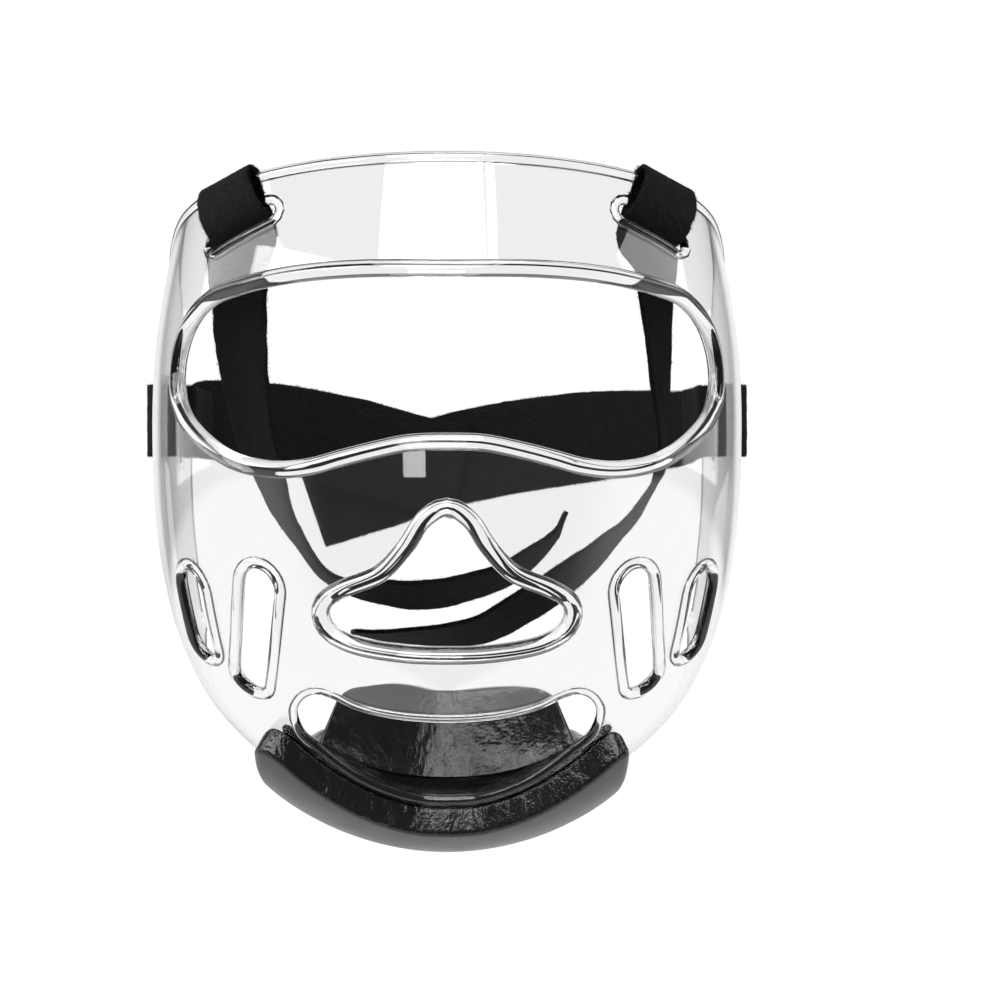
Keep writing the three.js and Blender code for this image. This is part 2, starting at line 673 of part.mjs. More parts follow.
// Flat webbing along stations of a place and the direction of its width.
function webbing(stations, width, steps) {
  const middle = new THREE.CatmullRomCurve3(stations.map((s) => s.place), false, 'centripetal');
  const edge = new THREE.CatmullRomCurve3(
    stations.map((s) => s.place.clone().addScaledVector(s.across, width / 2)), false, 'centripetal',
  );
  const rings = [];
  for (let i = 0; i <= steps; i++) {
    const t = i / steps;
    const place = middle.getPoint(t);
    const along = middle.getTangent(t);
    const across = edge.getPoint(t).sub(place);
    across.addScaledVector(along, -across.dot(along)).setLength(width / 2);
    const face = new THREE.Vector3().crossVectors(along, across).setLength(strapThickness / 2);
    rings.push([
      place.clone().sub(across).add(face),
      place.clone().add(across).add(face),
      place.clone().add(across).sub(face),
      place.clone().sub(across).sub(face),
    ]);
  }
  return loft(rings);
}

// The frame of the top edge straight above a slot, with its axis outward along the edge.
function edgeFrame(side, slot) {
  const rim = shellFrame(slot.spot.angle, 0);
  const axis = rim.round.clone().normalize().multiplyScalar(side);
  const up = rim.down.clone().negate();
  up.addScaledVector(axis, -up.dot(axis)).normalize();
  return { place: rim.place, out: rim.out, axis, up };
}

// The stations of a hanging tail, each with the direction of its width.
function tailStations(side, tail) {
  return tail.map((row, i) => {
    const before = tail[Math.max(i - 1, 0)];
    const after = tail[Math.min(i + 1, tail.length - 1)];
    const along = new THREE.Vector3(
      side * outOf(after.out - before.out), 0, heightOf(after.drop) - heightOf(before.drop),
    ).normalize();
    const turn = THREE.MathUtils.degToRad(row.turn);
    const across = new THREE.Vector3(-along.z, 0, along.x).multiplyScalar(side * Math.cos(turn));
    across.y += Math.sin(turn);
    const place = new THREE.Vector3(side * outOf(row.out), depthOf(row.depth), heightOf(row.drop));
    return { place, across };
  });
}

// The top strap loops from its short end inside, over the top edge and in at the slot, and hangs
// down behind it. hang() gives a station that is level inward of the slot and plumb below it.
function topStrap(side, tail) {
  const slot = slotFrame(side);
  const frames = { slot, edge: edgeFrame(side, slot) };
  const over = lipRadius + strapThickness / 2 + clearance;
  const inward = new THREE.Vector3(-slot.out.x, -slot.out.y, 0).normalize();
  const hang = (deep, below) => ({
    place: slot.place.clone().addScaledVector(inward, deep).add(new THREE.Vector3(0, 0, -below)),
    across: slot.axis.clone(),
  });
  const loop = topLoop.map((row) => {
    const frame = frames[row.from];
    const place = frame.place.clone().addScaledVector(frame.up, row.up * over);
    place.addScaledVector(frame.out, row.out * over - row.walls * wall);
    return { place, across: frame.axis.clone() };
  });
  const stations = [
    hang(loopPlay * 0.75, shortEnd),
    hang(loopPlay * 0.9, shortEnd * 0.6),
    hang(loopPlay, shortEnd * 0.15),
    ...loop,
    hang(over * 1.7, over * 2.6),
    ...tailStations(side, tail),
  ];
  return webbing(stations, topStrapWidth, count.topStrap);
}

// The side strap's loop through its slot, then its run behind the head.
function sideStrap(side, run) {
  const spot = sideSlotSpot(side);
  const frame = shellFrame(spot.angle, spot.v);
  const back = frame.round.clone().normalize().multiplyScalar(side);
  const stations = sideLoop.map((row) => {
    const place = frame.place.clone().addScaledVector(back, row.rear * sideSlotInset);
    place.addScaledVector(frame.out, row.out * sideLoopRise - row.walls * wall);
    return { place, across: new THREE.Vector3(0, 0, 1) };
  });
  for (const row of run) {
    const lean = THREE.MathUtils.degToRad(row.lean);
    stations.push({
      place: new THREE.Vector3(side * outOf(row.out), depthOf(row.depth), heightOf(row.drop)),
      across: new THREE.Vector3(0, Math.sin(lean), Math.cos(lean)),
    });
  }
  return webbing(stations, sideStrapWidth, count.sideStrap);
}

const clearPlastic = {
  color: 0xf2f5f5, roughness: 0.08, metalness: 0, transparent: true, opacity: 0.35,
};
const blackFoam = { color: 0x17181a, roughness: 0.45, metalness: 0 };
const blackVinyl = { color: 0x0b0b0c, roughness: 0.22, metalness: 0 };
const blackLoop = { color: 0x111112, roughness: 0.95, metalness: 0 };

const headgearShield = new THREE.Group();

function piece(name, geometry, finish) {
  const mesh = new THREE.Mesh(geometry, new THREE.MeshStandardMaterial(finish));
  mesh.name = name;
  headgearShield.add(mesh);
}

piece('shield', shield(), clearPlastic);
piece('chin_guard', chinGuard(), blackFoam);
piece('chin_liner', chinLiner(), blackVinyl);
piece('chin_pad', chinPad(), blackVinyl);
piece('strap_top_left', topStrap(-1, leftTail), blackLoop);
piece('strap_top_right', topStrap(1, rightTail), blackLoop);
piece('strap_side_left', sideStrap(-1, leftSideRun), blackLoop);
piece('strap_side_right', sideStrap(1, rightSideRun), blackLoop);

export default headgearShield;
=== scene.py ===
import math

import bpy
import numpy as np
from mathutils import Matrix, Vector, geometry


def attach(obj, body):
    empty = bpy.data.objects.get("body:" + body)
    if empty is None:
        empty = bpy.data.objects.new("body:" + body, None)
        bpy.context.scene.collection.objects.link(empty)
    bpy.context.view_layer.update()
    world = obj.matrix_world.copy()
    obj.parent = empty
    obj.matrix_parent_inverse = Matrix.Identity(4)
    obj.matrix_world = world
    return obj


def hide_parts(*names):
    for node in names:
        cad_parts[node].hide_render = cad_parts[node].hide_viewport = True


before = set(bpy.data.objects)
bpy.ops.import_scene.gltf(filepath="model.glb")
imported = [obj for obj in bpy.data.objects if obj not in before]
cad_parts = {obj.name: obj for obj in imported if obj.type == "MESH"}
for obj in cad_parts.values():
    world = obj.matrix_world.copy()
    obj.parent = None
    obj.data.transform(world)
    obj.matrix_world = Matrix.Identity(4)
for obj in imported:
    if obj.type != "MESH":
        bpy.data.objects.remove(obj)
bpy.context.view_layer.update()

# Clear moulded face shield with a foam chin guard, a vinyl liner and hook-and-loop straps.
# Lengths of the pieces are in millimetres and turned to metres where a mesh is made. Those of the
# camera, stage and lamps are in metres. +Z is up and the wearer looks along -Y, as in the frame.

mm = 0.001
random = np.random.default_rng(11)


# Small tools

def linearColour(code):  # sRGB hex to the linear values that shaders take
    parts = [int(code[i:i + 2], 16) / 255 for i in (0, 2, 4)]
    return [p / 12.92 if p <= 0.04045 else ((p + 0.055) / 1.055) ** 2.4 for p in parts] + [1.0]


def addNode(tree, kind, settings=None, links=None):
    node = tree.nodes.new(kind)
    for key, value in (settings or {}).items():
        if isinstance(key, int) or key in node.inputs:
            node.inputs[key].default_value = value
        else:
            setattr(node, key, value)
    for key, source in (links or {}).items():
        tree.links.new(source, node.inputs[key])
    return node


def newMaterial(name):
    material = bpy.data.materials.new(name)
    material.use_nodes = True
    material.node_tree.nodes.clear()
    return material, material.node_tree


def perMetre(size):  # how often a pattern of this size in millimetres comes in a metre
    return 1 / (size * mm)


def unit(vectors):
    return vectors / np.maximum(np.linalg.norm(vectors, axis=-1, keepdims=True), 1e-12)


def smoothStep(x):
    x = np.clip(x, 0, 1)
    return x * x * (3 - 2 * x)


def makeMesh(name, points, faces, material, normals=None):  # points in millimetres
    mesh = bpy.data.meshes.new(name)
    mesh.from_pydata((np.asarray(points) * mm).tolist(), [], [list(map(int, f)) for f in faces])
    mesh.update()
    mesh.polygons.foreach_set("use_smooth", np.ones(len(mesh.polygons), bool))
    if normals is not None:
        mesh.normals_split_custom_set_from_vertices(np.asarray(normals).tolist())
    piece = bpy.data.objects.new(name, mesh)
    bpy.context.scene.collection.objects.link(piece)
    piece.data.materials.append(material)
    return piece


def seat(piece, slot, *nodes):  # rides on the one body, and stands for its solids
    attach(piece, "root")
    if nodes:
        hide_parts(*nodes)


def ringFaces(index):  # four-sided faces between rings of point numbers that close on themselves
    a, b = index[:-1], np.roll(index, -1, 1)[:-1]
    c, d = np.roll(index, -1, 1)[1:], index[1:]
    return np.stack([a, b, c, d], -1).reshape(-1, 4)


# A smooth line through points, weighted by the root of their distances, with a point for each t
# from 0 to 1
def curveThrough(points, t, closed=False):
    points = np.asarray(points, float)
    total = len(points)
    spans = total if closed else total - 1
    place = np.asarray(t, float) * spans
    i = np.clip(np.floor(place).astype(int), 0, spans - 1)
    w = (place - i)[..., None]
    if closed:
        corners = [points[(i + k) % total] for k in (-1, 0, 1, 2)]
    else:
        longer = np.vstack([2 * points[0] - points[1], points, 2 * points[-1] - points[-2]])
        corners = [longer[i + k] for k in (0, 1, 2, 3)]
    a, b, c, d = corners
    gaps = [np.sqrt(np.linalg.norm(q - p, axis=-1))[..., None] for p, q in ((a, b), (b, c), (c, d))]
    none = 1e-4
    gaps[1] = np.where(gaps[1] < none, 1.0, gaps[1])
    gaps[0] = np.where(gaps[0] < none, gaps[1], gaps[0])
    gaps[2] = np.where(gaps[2] < none, gaps[1], gaps[2])
    start = ((b - a) / gaps[0] - (c - a) / (gaps[0] + gaps[1]) + (c - b) / gaps[1]) * gaps[1]
    end = ((c - b) / gaps[1] - (d - b) / (gaps[1] + gaps[2]) + (d - c) / gaps[2]) * gaps[1]
    return b + start * w + (3 * (c - b) - 2 * start - end) * w ** 2 + (2 * (b - c) + start + end) * w ** 3


# A natural cubic through a column of a table
def columnCurve(places, values):
    places, values = np.asarray(places, float), np.asarray(values, float)
    steps = np.diff(places)
    slopes = np.diff(values) / steps
    system = np.eye(len(places))
    right = np.zeros(len(places))
    for i in range(1, len(places) - 1):
        system[i, i - 1:i + 2] = steps[i - 1], 2 * (steps[i - 1] + steps[i]), steps[i]
        right[i] = 6 * (slopes[i] - slopes[i - 1])
    bend = np.linalg.solve(system, right)

    def at(place):
        i = np.clip(np.searchsorted(places, place) - 1, 0, len(steps) - 1)
        b = (place - places[i]) / steps[i]
        a = 1 - b
        cubic = (a ** 3 - a) * bend[i] + (b ** 3 - b) * bend[i + 1]
        return a * values[i] + b * values[i + 1] + cubic * steps[i] ** 2 / 6

    return at


# Shell surface

shellSizes = {
    "width": 226, "height": 254.7, "depth": 138, "wall": 2.6, "seatDrop": 23.7,
    "lipRadius": 2.3, "edgeRadius": 1.31, "lipEnd": 4, "lipFade": 22, "cornerCut": 15,
    "clearance": 0.3, "padGlue": 0.7,
}
shellRows = {  # from the top edge to the chin edge, as shares of the sizes, and wrap in degrees
    "drop": [0, 0.085, 0.172, 0.301, 0.415, 0.51, 0.615, 0.72, 0.812, 0.945, 1],
    "depth": [0.181, 0.123, 0.072, 0.025, 0, 0.012, 0.043, 0.099, 0.239, 0.507, 0.855],
    "halfWidth": [0.92, 0.947, 0.973, 0.996, 0.999, 0.991, 0.969, 0.934, 0.903, 0.872, 0.85],
    "sideDepth": [0.703, 0.703, 0.703, 0.703, 0.703, 0.703, 0.703, 0.707, 0.742, 0.835, 0.9],
    "sideDrop": [0.105, 0.16, 0.223, 0.317, 0.419, 0.505, 0.592, 0.662, 0.706, 0.733, 0.757],
    "square": [0.1, 0.14, 0.18, 0.2, 0.2, 0.18, 0.12, 0.02, -0.08, -0.2, -0.29],
    "wrap": [80, 95, 104, 109, 111, 111, 111, 110, 108, 103, 94],
}
rowSteps = np.hypot(
    np.diff(shellRows["drop"]) * shellSizes["height"], np.diff(shellRows["depth"]) * shellSizes["depth"])
rowPlaces = np.concatenate([[0], np.cumsum(rowSteps)])
middleLength = rowPlaces[-1]
rowPlaces = rowPlaces / middleLength
flatScale = np.array([shellSizes["width"] / 2, middleLength])  # spots to millimetres, laid flat
halvings = 40  # of a range, when a place on the shell is looked up
rowAt = {key: columnCurve(rowPlaces, column) for key, column in shellRows.items()}
seatPlace = shellSizes["seatDrop"] / shellSizes["height"] / (shellRows["drop"][1] / rowPlaces[1])
seatDepth = float(rowAt["depth"](seatPlace)) * shellSizes["depth"] + shellSizes["wall"]


def heightOf(drop):
    return shellSizes["seatDrop"] - np.asarray(drop) * shellSizes["height"]


def depthOf(share):
    return np.asarray(share) * shellSizes["depth"] - seatDepth


def outOf(share):
    return np.asarray(share) * shellSizes["width"] / 2


def wrapAt(v):
    return np.radians(rowAt["wrap"](v))


def shellPoint(angle, v):  # a point of the outer face
    angle, v = np.broadcast_arrays(np.asarray(angle, float), np.asarray(v, float))
    sine = np.sin(angle)
    share = np.cos(angle) * (1 + rowAt["square"](v) * sine ** 2)
    sideDepth, sideDrop = rowAt["sideDepth"](v), rowAt["sideDrop"](v)
    return np.stack([
        outOf(rowAt["halfWidth"](v)) * sine,
        depthOf(sideDepth - (sideDepth - rowAt["depth"](v)) * share),
        heightOf(sideDrop - (sideDrop - rowAt["drop"](v)) * share),
    ], -1)


def shellFrame(angle, v):
    step = 1e-4
    angle, v = np.broadcast_arrays(np.asarray(angle, float), np.asarray(v, float))
    place = shellPoint(angle, v)
    around = (shellPoint(angle + step, v) - place) / step
    side = np.where(v > 0.5, -step, step)
    down = (shellPoint(angle, v + side) - place) / side[..., None]
    return place, around, down, unit(-np.cross(around, down))


def offShell(angle, v, distance):
    place, _, _, out = shellFrame(angle, v)
    return place + out * np.asarray(distance)[..., None]


def spotAt(x, z):  # the front spot of the shell at x and z
    x, z = np.broadcast_arrays(np.asarray(x, float), np.asarray(z, float))
    low, high = np.zeros(x.shape), np.ones(x.shape)
    for _ in range(halvings):
        v = (low + high) / 2
        angle = np.arcsin(np.clip(x / outOf(rowAt["halfWidth"](v)), -1, 1))
        below = shellPoint(angle, v)[..., 2] > z
        low, high = np.where(below, v, low), np.where(below, high, v)
    return np.stack([angle, (low + high) / 2], -1)


def stepOnShell(spots, step):
    _, around, down, _ = shellFrame(spots[..., 0], spots[..., 1])
    rr, dd, rd = (around ** 2).sum(-1), (down ** 2).sum(-1), (around * down).sum(-1)
    alongRound, alongDown = (step * around).sum(-1), (step * down).sum(-1)
    span = rr * dd - rd ** 2
    change = [(alongRound * dd - alongDown * rd) / span, (alongDown * rr - alongRound * rd) / span]
    return spots + np.stack(change, -1)


def evenly(spots, spacing, least=24):  # a closed line of spots, at even steps on the shell
    points = shellPoint(spots[:, 0], spots[:, 1])
    lengths = np.linalg.norm(np.roll(points, -1, 0) - points, axis=1)
    along = np.concatenate([[0], np.cumsum(lengths)])
    total = max(least, int(round(along[-1] / spacing)))
    wanted = np.arange(total) * along[-1] / total
    closed = np.vstack([spots, spots[:1]])
    return np.stack([np.interp(wanted, along, closed[:, k]) for k in (0, 1)], -1)


# Openings of the shell

eyeOutline = {
    "width": 198, "height": 66, "drop": 46.7, "bead": 3.2,
    "across": [0, 0.35, 0.6, 0.78, 0.87, 0.945, 0.99, 1, 0.975, 0.9, 0.77, 0.625, 0.5, 0.4, 0.28, 0.14, 0],
    "down": [0, 0, 0.03, 0.085, 0.13, 0.235, 0.39, 0.56, 0.7, 0.83, 0.955, 1, 0.985, 0.945, 0.9,
             0.858, 0.85],
}
noseOutline = {
    "width": 85, "height": 47.2, "drop": 132.7, "bead": 3.4,
    "across": [0, 0.13, 0.29, 0.52, 0.86, 0.99, 0.98, 0.82, 0.4, 0],
    "down": [0, 0.07, 0.28, 0.49, 0.62, 0.7, 0.81, 0.91, 0.985, 1],
}
mouthOutline = {
    "width": 112, "height": 42, "drop": 198.2, "bead": 1.8,
    "across": [0, 0.35, 0.6, 0.76, 0.86, 0.95, 1, 0.96, 0.85, 0.73, 0.59, 0.45, 0.31, 0.16, 0],
    "down": [0.243, 0.21, 0.133, 0.03, 0, 0.06, 0.19, 0.38, 0.51, 0.645, 0.775, 0.87, 0.94, 0.985, 0.995],
}
vents = [  # ends of the middle line, and the width between the beads
    {"out": [0.612, 0.64], "drop": [0.6335, 0.7675], "width": 13, "bead": 2.4},
    {"out": [0.838, 0.805], "drop": [0.634, 0.708], "width": 15, "bead": 2.4},
]
topSlot = {"out": 0.674, "drop": 0.104, "slope": 18, "length": 31, "width": 6, "bead": 2}
sideSlot = {"place": 0.375, "inset": 11, "length": 37, "width": 5}
shellMesh = {  # distances between points, and the least radius that counts as a bead
    "ringSpacing": 1.7, "borderSpacing": 2.2, "fieldSpacing": 2.9,
    "leastBead": 1.4, "afterBead": 0.8, "afterEdge": 0.35,
}


def outlineLoop(outline):
    right = np.stack([
        np.array(outline["across"]) * outline["width"] / 2,
        shellSizes["seatDrop"] - outline["drop"] - np.array(outline["down"]) * outline["height"],
    ], -1)
    left = right[1:-1][::-1] * [-1, 1]
    steps = 1600
    smooth = curveThrough(np.vstack([right, left]), np.arange(steps) / steps, closed=True)
    return spotAt(smooth[:, 0], smooth[:, 1])


def ovalLoop(centre, along, length, width):
    out = shellFrame(centre[0], centre[1])[3]
    axis = unit(along - out * (along * out).sum())
    side = np.cross(out, axis)
    steps = 720
    turn = 2 * np.pi * (np.arange(steps) + 0.5) / steps
    end = np.clip(np.cos(turn) * 40, -1, 1) * (length - width) / 2  # swings over along the straights
    step = axis * (end + width / 2 * np.cos(turn))[:, None] + side * (width / 2 * np.sin(turn))[:, None]
    return stepOnShell(np.broadcast_to(centre, (steps, 2)), step)


def ventLoop(vent, side):
    ends = spotAt(side * outOf(vent["out"]), heightOf(vent["drop"]))
    top, bottom = shellPoint(ends[:, 0], ends[:, 1])
    along = bottom - top
    centre = spotAt((top[0] + bottom[0]) / 2, (top[2] + bottom[2]) / 2)
    return ovalLoop(centre, along, np.linalg.norm(along) + vent["width"], vent["width"])


def slotFrame(side):
    spot = spotAt(side * outOf(topSlot["out"]), heightOf(topSlot["drop"]))
    place, around, down, out = shellFrame(spot[0], spot[1])
    slope = math.radians(topSlot["slope"])
    along = unit(around) * side
    down = unit(down - along * (down * along).sum())
    axis = along * math.cos(slope) + down * math.sin(slope)
    up = unit(np.cross(axis, out))
    return {"spot": spot, "place": place, "axis": axis, "up": up * np.sign(up[2]), "out": out}


def sideSlotSpot(side):
    low, high = 0.0, 1.0
    for _ in range(halvings):
        v = (low + high) / 2
        if shellPoint(wrapAt(v), v)[2] > heightOf(sideSlot["place"]):
            low = v
        else:
            high = v
    edge = np.array([side * float(wrapAt(low)), low])
    forward = unit(shellFrame(edge[0], edge[1])[1])
    return stepOnShell(edge, -side * sideSlot["inset"] * forward)


def beadSoftness(radius):  # how wide the fillet is where a bead meets the wall
    return np.clip(0.5 * (radius - shellSizes["wall"] / 2), 0.02, 0.6)


# The rounded section of the wall near an edge: half its thickness at a distance in from the edge
def halfThickness(distance, radius):
    half = shellSizes["wall"] / 2
    ring = np.sqrt(np.clip(radius ** 2 - (distance - radius) ** 2, 0, None))
    soft = beadSoftness(radius)
    mix = np.clip(0.5 + 0.5 * (ring - half) / soft, 0, 1)
    joined = half + (ring - half) * mix + soft * mix * (1 - mix)
    return np.where(distance <= radius, ring, joined)


# Rings of spots from an edge into the wall, with the half thickness and the lean of the surface
def edgeRings(spots, radius, inward):
    place, _, _, out = shellFrame(spots[:, 0], spots[:, 1])
    following = np.roll(place, -1, 0)
    along = unit(following - np.roll(place, 1, 0))
    turned = (np.cross(place - place.mean(0), following - place) * out).sum()
    away = unit(np.cross(along, out)) * np.sign(turned) * (-1 if inward else 1)
    radius = np.broadcast_to(np.asarray(radius, float), (len(spots),))
    half, soft = shellSizes["wall"] / 2, beadSoftness(radius)
    first = np.sqrt(np.clip(radius ** 2 - (half + soft) ** 2, 0, None))
    final = np.sqrt(radius ** 2 - (half - soft) ** 2)
    turns = np.linspace(0, 1, 11)[:, None] * np.arccos(-first / radius)
    distances = list(radius * (1 - np.cos(turns)))
    distances += [radius + first + (final - first) * share for share in (0.25, 0.5, 0.75, 1)]
    isBead = radius > shellMesh["leastBead"]
    distances.append(radius + final + np.where(isBead, shellMesh["afterBead"], shellMesh["afterEdge"]))
    rings, nudge = [], 1e-3
    for k, distance in enumerate(distances):
        thick = halfThickness(distance, radius)
        slope = (halfThickness(distance + nudge, radius) - thick) / nudge
        scale = np.hypot(slope, 1)
        lean, rise = slope / scale, 1 / scale
        if k == 0:  # the edge itself, where the outer and inner faces meet
            thick, lean, rise = np.zeros(len(spots)), np.ones(len(spots)), np.zeros(len(spots))
        rings.append({
            "spots": stepOnShell(spots, away * distance[:, None]),
            "half": thick, "away": away, "lean": lean, "rise": rise,
        })
    return rings


def insidePolygon(points, polygon):
    x, y = points[:, 0][:, None], points[:, 1][:, None]
    a, b = polygon, np.roll(polygon, -1, 0)
    crosses = (a[:, 1] > y) != (b[:, 1] > y)
    span = np.where(b[:, 1] == a[:, 1], 1e-12, b[:, 1] - a[:, 1])
    where = a[:, 0] + (y - a[:, 1]) / span * (b[:, 0] - a[:, 0])
    return (crosses & (x < where)).sum(1) % 2 == 1


def inField(points, outlines):  # inside the last outline, and outside those of the openings
    holes = [insidePolygon(points, outline) for outline in outlines[:-1]]
    return insidePolygon(points, outlines[-1]) & ~np.any(holes, axis=0)


def shellBorder():  # the shell's own edge, with its corners rounded, as spots
    steps = np.linspace(0, 1, 400)
    cut = shellSizes["cornerCut"]
    top = np.stack([(2 * steps - 1) * wrapAt(0), 0 * steps], -1)
    right = np.stack([wrapAt(steps), steps], -1)
    bottom = np.stack([(1 - 2 * steps) * wrapAt(1), 0 * steps + 1], -1)
    left = np.stack([-wrapAt(1 - steps), 1 - steps], -1)
    sides = []
    for side in (top, right, bottom, left):
        lengths = np.linalg.norm(np.diff(side * flatScale, axis=0), axis=1)
        along = np.concatenate([[0], np.cumsum(lengths)])
        wanted = np.linspace(cut, along[-1] - cut, len(steps))
        sides.append(np.stack([np.interp(wanted, along, side[:, k]) for k in (0, 1)], -1))
    corners = [top[-1], right[-1], bottom[-1], left[-1]]
    parts = []
    t = np.linspace(0, 1, 40)[1:-1, None]
    for i, side in enumerate(sides):
        following = sides[(i + 1) % 4]
        arc = side[-1] * (1 - t) ** 2 + corners[i] * 2 * t * (1 - t) + following[0] * t ** 2
        parts += [side, arc]
    return np.vstack(parts)


def shellEdges():  # the rings round each opening, and last those along the shell's own edge
    edges = [(outlineLoop(o), o["bead"]) for o in (eyeOutline, noseOutline, mouthOutline)]
    upright = np.array([0.0, 0.0, 1.0])
    for side in (-1, 1):
        edges += [(ventLoop(vent, side), vent["bead"]) for vent in vents]
        slot = slotFrame(side)
        topHole = ovalLoop(slot["spot"], slot["axis"], topSlot["length"], topSlot["width"])
        sideHole = ovalLoop(sideSlotSpot(side), upright, sideSlot["length"], sideSlot["width"])
        edges += [(topHole, topSlot["bead"]), (sideHole, shellSizes["edgeRadius"])]
    families = [edgeRings(evenly(loop, shellMesh["ringSpacing"]), bead, False) for loop, bead in edges]
    border = evenly(shellBorder(), shellMesh["borderSpacing"])
    fade = smoothStep((border[:, 1] * middleLength - shellSizes["lipEnd"]) / shellSizes["lipFade"])
    lip = shellSizes["lipRadius"] + (shellSizes["edgeRadius"] - shellSizes["lipRadius"]) * fade
    return families + [edgeRings(border, lip, True)]


def fieldBetween(outlines):  # an even net of triangles between the outlines, laid flat
    spacing = shellMesh["fieldSpacing"]
    reach = np.abs(outlines[-1]).max(0) + spacing
    rows = np.arange(-spacing, reach[1] + spacing, spacing * math.sqrt(0.75))
    columns = np.arange(-reach[0], reach[0], spacing)
    grid = np.array([[x + (j % 2) * spacing / 2, y] for j, y in enumerate(rows) for x in columns])
    grid = grid[inField(grid, outlines)]
    rim = np.vstack(outlines)
    nearest = np.array([np.min(np.abs(rim - p).max(1)) for p in grid])
    grid = grid[nearest > spacing * 0.5]
    lines, start = [], 0
    for outline in outlines:
        total = len(outline)
        lines += [(start + i, start + (i + 1) % total) for i in range(total)]
        start += total
    flat = [tuple(p) for p in np.vstack([rim, grid])]
    coords, _, triangles, origins = geometry.delaunay_2d_cdt(flat, lines, [], 0, 1e-6)[:4]
    coords = np.array([tuple(c) for c in coords])
    source = np.array([o[0] if o else -1 for o in origins])
    triangles = np.array(triangles)
    triangles = triangles[(source[triangles] >= 0).all(1)]
    keep = inField(coords[triangles].mean(1), outlines)
    return grid, source[triangles[keep]]


def buildShell(material):
    families = shellEdges()
    grid, triangles = fieldBetween([family[-1]["spots"] * flatScale for family in families])
    quads, lastRings, begin = [], [], 0
    for family in families:
        index = begin + np.arange(len(family) * len(family[0]["spots"])).reshape(len(family), -1)
        quads.append(ringFaces(index))
        lastRings.append(index[-1])
        begin += index.size
    total = len(grid)
    field = np.concatenate(lastRings + [begin + np.arange(total)])[triangles]
    rings = [ring for family in families for ring in family] + [{
        "spots": grid / flatScale, "half": np.full(total, shellSizes["wall"] / 2),
        "away": np.zeros((total, 3)), "lean": np.zeros(total), "rise": np.ones(total),
    }]
    spots, half, away, lean, rise = [
        np.concatenate([ring[key] for ring in rings]) for key in ("spots", "half", "away", "lean", "rise")]
    place, _, _, out = shellFrame(spots[:, 0], spots[:, 1])
    middle = place - out * shellSizes["wall"] / 2
    outerNormal = unit(out * rise[:, None] - away * lean[:, None])
    innerNormal = unit(-out * rise[:, None] - away * lean[:, None])
    free = np.flatnonzero(half > 0)  # along an edge the wall has no thickness, and one point is enough
    innerIndex = np.arange(len(spots))
    innerIndex[free] = len(spots) + np.arange(len(free))
    points = np.vstack([middle + out * half[:, None], (middle - out * half[:, None])[free]])
    normals = np.vstack([outerNormal, innerNormal[free]])
    faces = []
    for group in (np.vstack(quads), field):
        for layer in (group, innerIndex[group]):
            corners = points[layer]
            normal = np.cross(corners[:, 1] - corners[:, 0], corners[:, 2] - corners[:, 0])
            wrong = (normal * normals[layer].mean(1)).sum(1) < 0
            faces += np.where(wrong[:, None], layer[:, ::-1], layer).tolist()
    return makeMesh("shield_shell", points, faces, material, normals)


# Hook-and-loop straps

strapSizes = {
    "thickness": 1.8, "topWidth": 25, "sideWidth": 40, "bunchedWidth": 28, "loopRise": 6.2,
    "nap": 0.12, "edgeWander": 0.09, "stepsPerPlace": 9, "acrossSteps": 18,
}
leftTail = {  # places along the strap as shares of the shell's sizes, and its turn in degrees
    "out": [0.674, 0.678, 0.676, 0.666, 0.64, 0.597, 0.552, 0.495, 0.415, 0.327, 0.222, 0.117, 0.023,
            -0.085, -0.188, -0.277, -0.33, -0.377, -0.396],
    "drop": [0.144, 0.2, 0.262, 0.32, 0.4, 0.467, 0.52, 0.562, 0.609, 0.629, 0.636, 0.641, 0.638,
             0.627, 0.612, 0.586, 0.568, 0.545, 0.526],
    "depth": [0.31, 0.335, 0.36, 0.4, 0.48, 0.58, 0.63, 0.66, 0.67, 0.67, 0.67, 0.67, 0.67,
              0.67, 0.68, 0.69, 0.7, 0.71, 0.72],
    "turn": [24, 33, 38, 46, 57, 66, 73, 79, 80, 76, 68, 64, 64, 66, 68, 72, 78, 84, 88],
}
rightTail = {
    "out": [0.674, 0.687, 0.7, 0.712, 0.73, 0.716, 0.688, 0.632, 0.57, 0.5, 0.42, 0.333, 0.23, 0.128,
            0.004, -0.11, -0.22, -0.325],
    "drop": [0.144, 0.2, 0.262, 0.32, 0.4, 0.464, 0.49, 0.527, 0.556, 0.588, 0.617, 0.645, 0.673, 0.696,
             0.706, 0.707, 0.706, 0.7],
    "depth": [0.31, 0.355, 0.41, 0.48, 0.6, 0.74, 0.8, 0.86, 0.9, 0.92, 0.92, 0.92, 0.92, 0.91,
              0.9, 0.89, 0.88, 0.87],
    "turn": [46, 58, 67, 73, 80, 84, 84, 80, 74, 66, 60, 58, 58, 62, 68, 74, 80, 86],
}
leftSideRun = {
    "out": [0.885, 0.77, 0.57, 0.34, 0.13, -0.06],
    "drop": [0.366, 0.37, 0.383, 0.406, 0.432, 0.452],
    "depth": [1.19, 1.35, 1.55, 1.67, 1.715, 1.72],
    "lean": [0, 0, 2, 4, 4, 4],
    "spread": [0.1, 0.45, 0.85, 1, 1, 1],
}
rightSideRun = {
    "out": [0.885, 0.77, 0.56, 0.33, 0.07, -0.15, -0.35, -0.52],
    "drop": [0.382, 0.385, 0.392, 0.403, 0.424, 0.452, 0.48, 0.503],
    "depth": [1.19, 1.36, 1.57, 1.7, 1.76, 1.762, 1.745, 1.71],
    "lean": [0, 0, 2, 4, 4, 6, 10, 14],
    "spread": [0.1, 0.45, 0.85, 1, 1, 1, 1, 1],
}
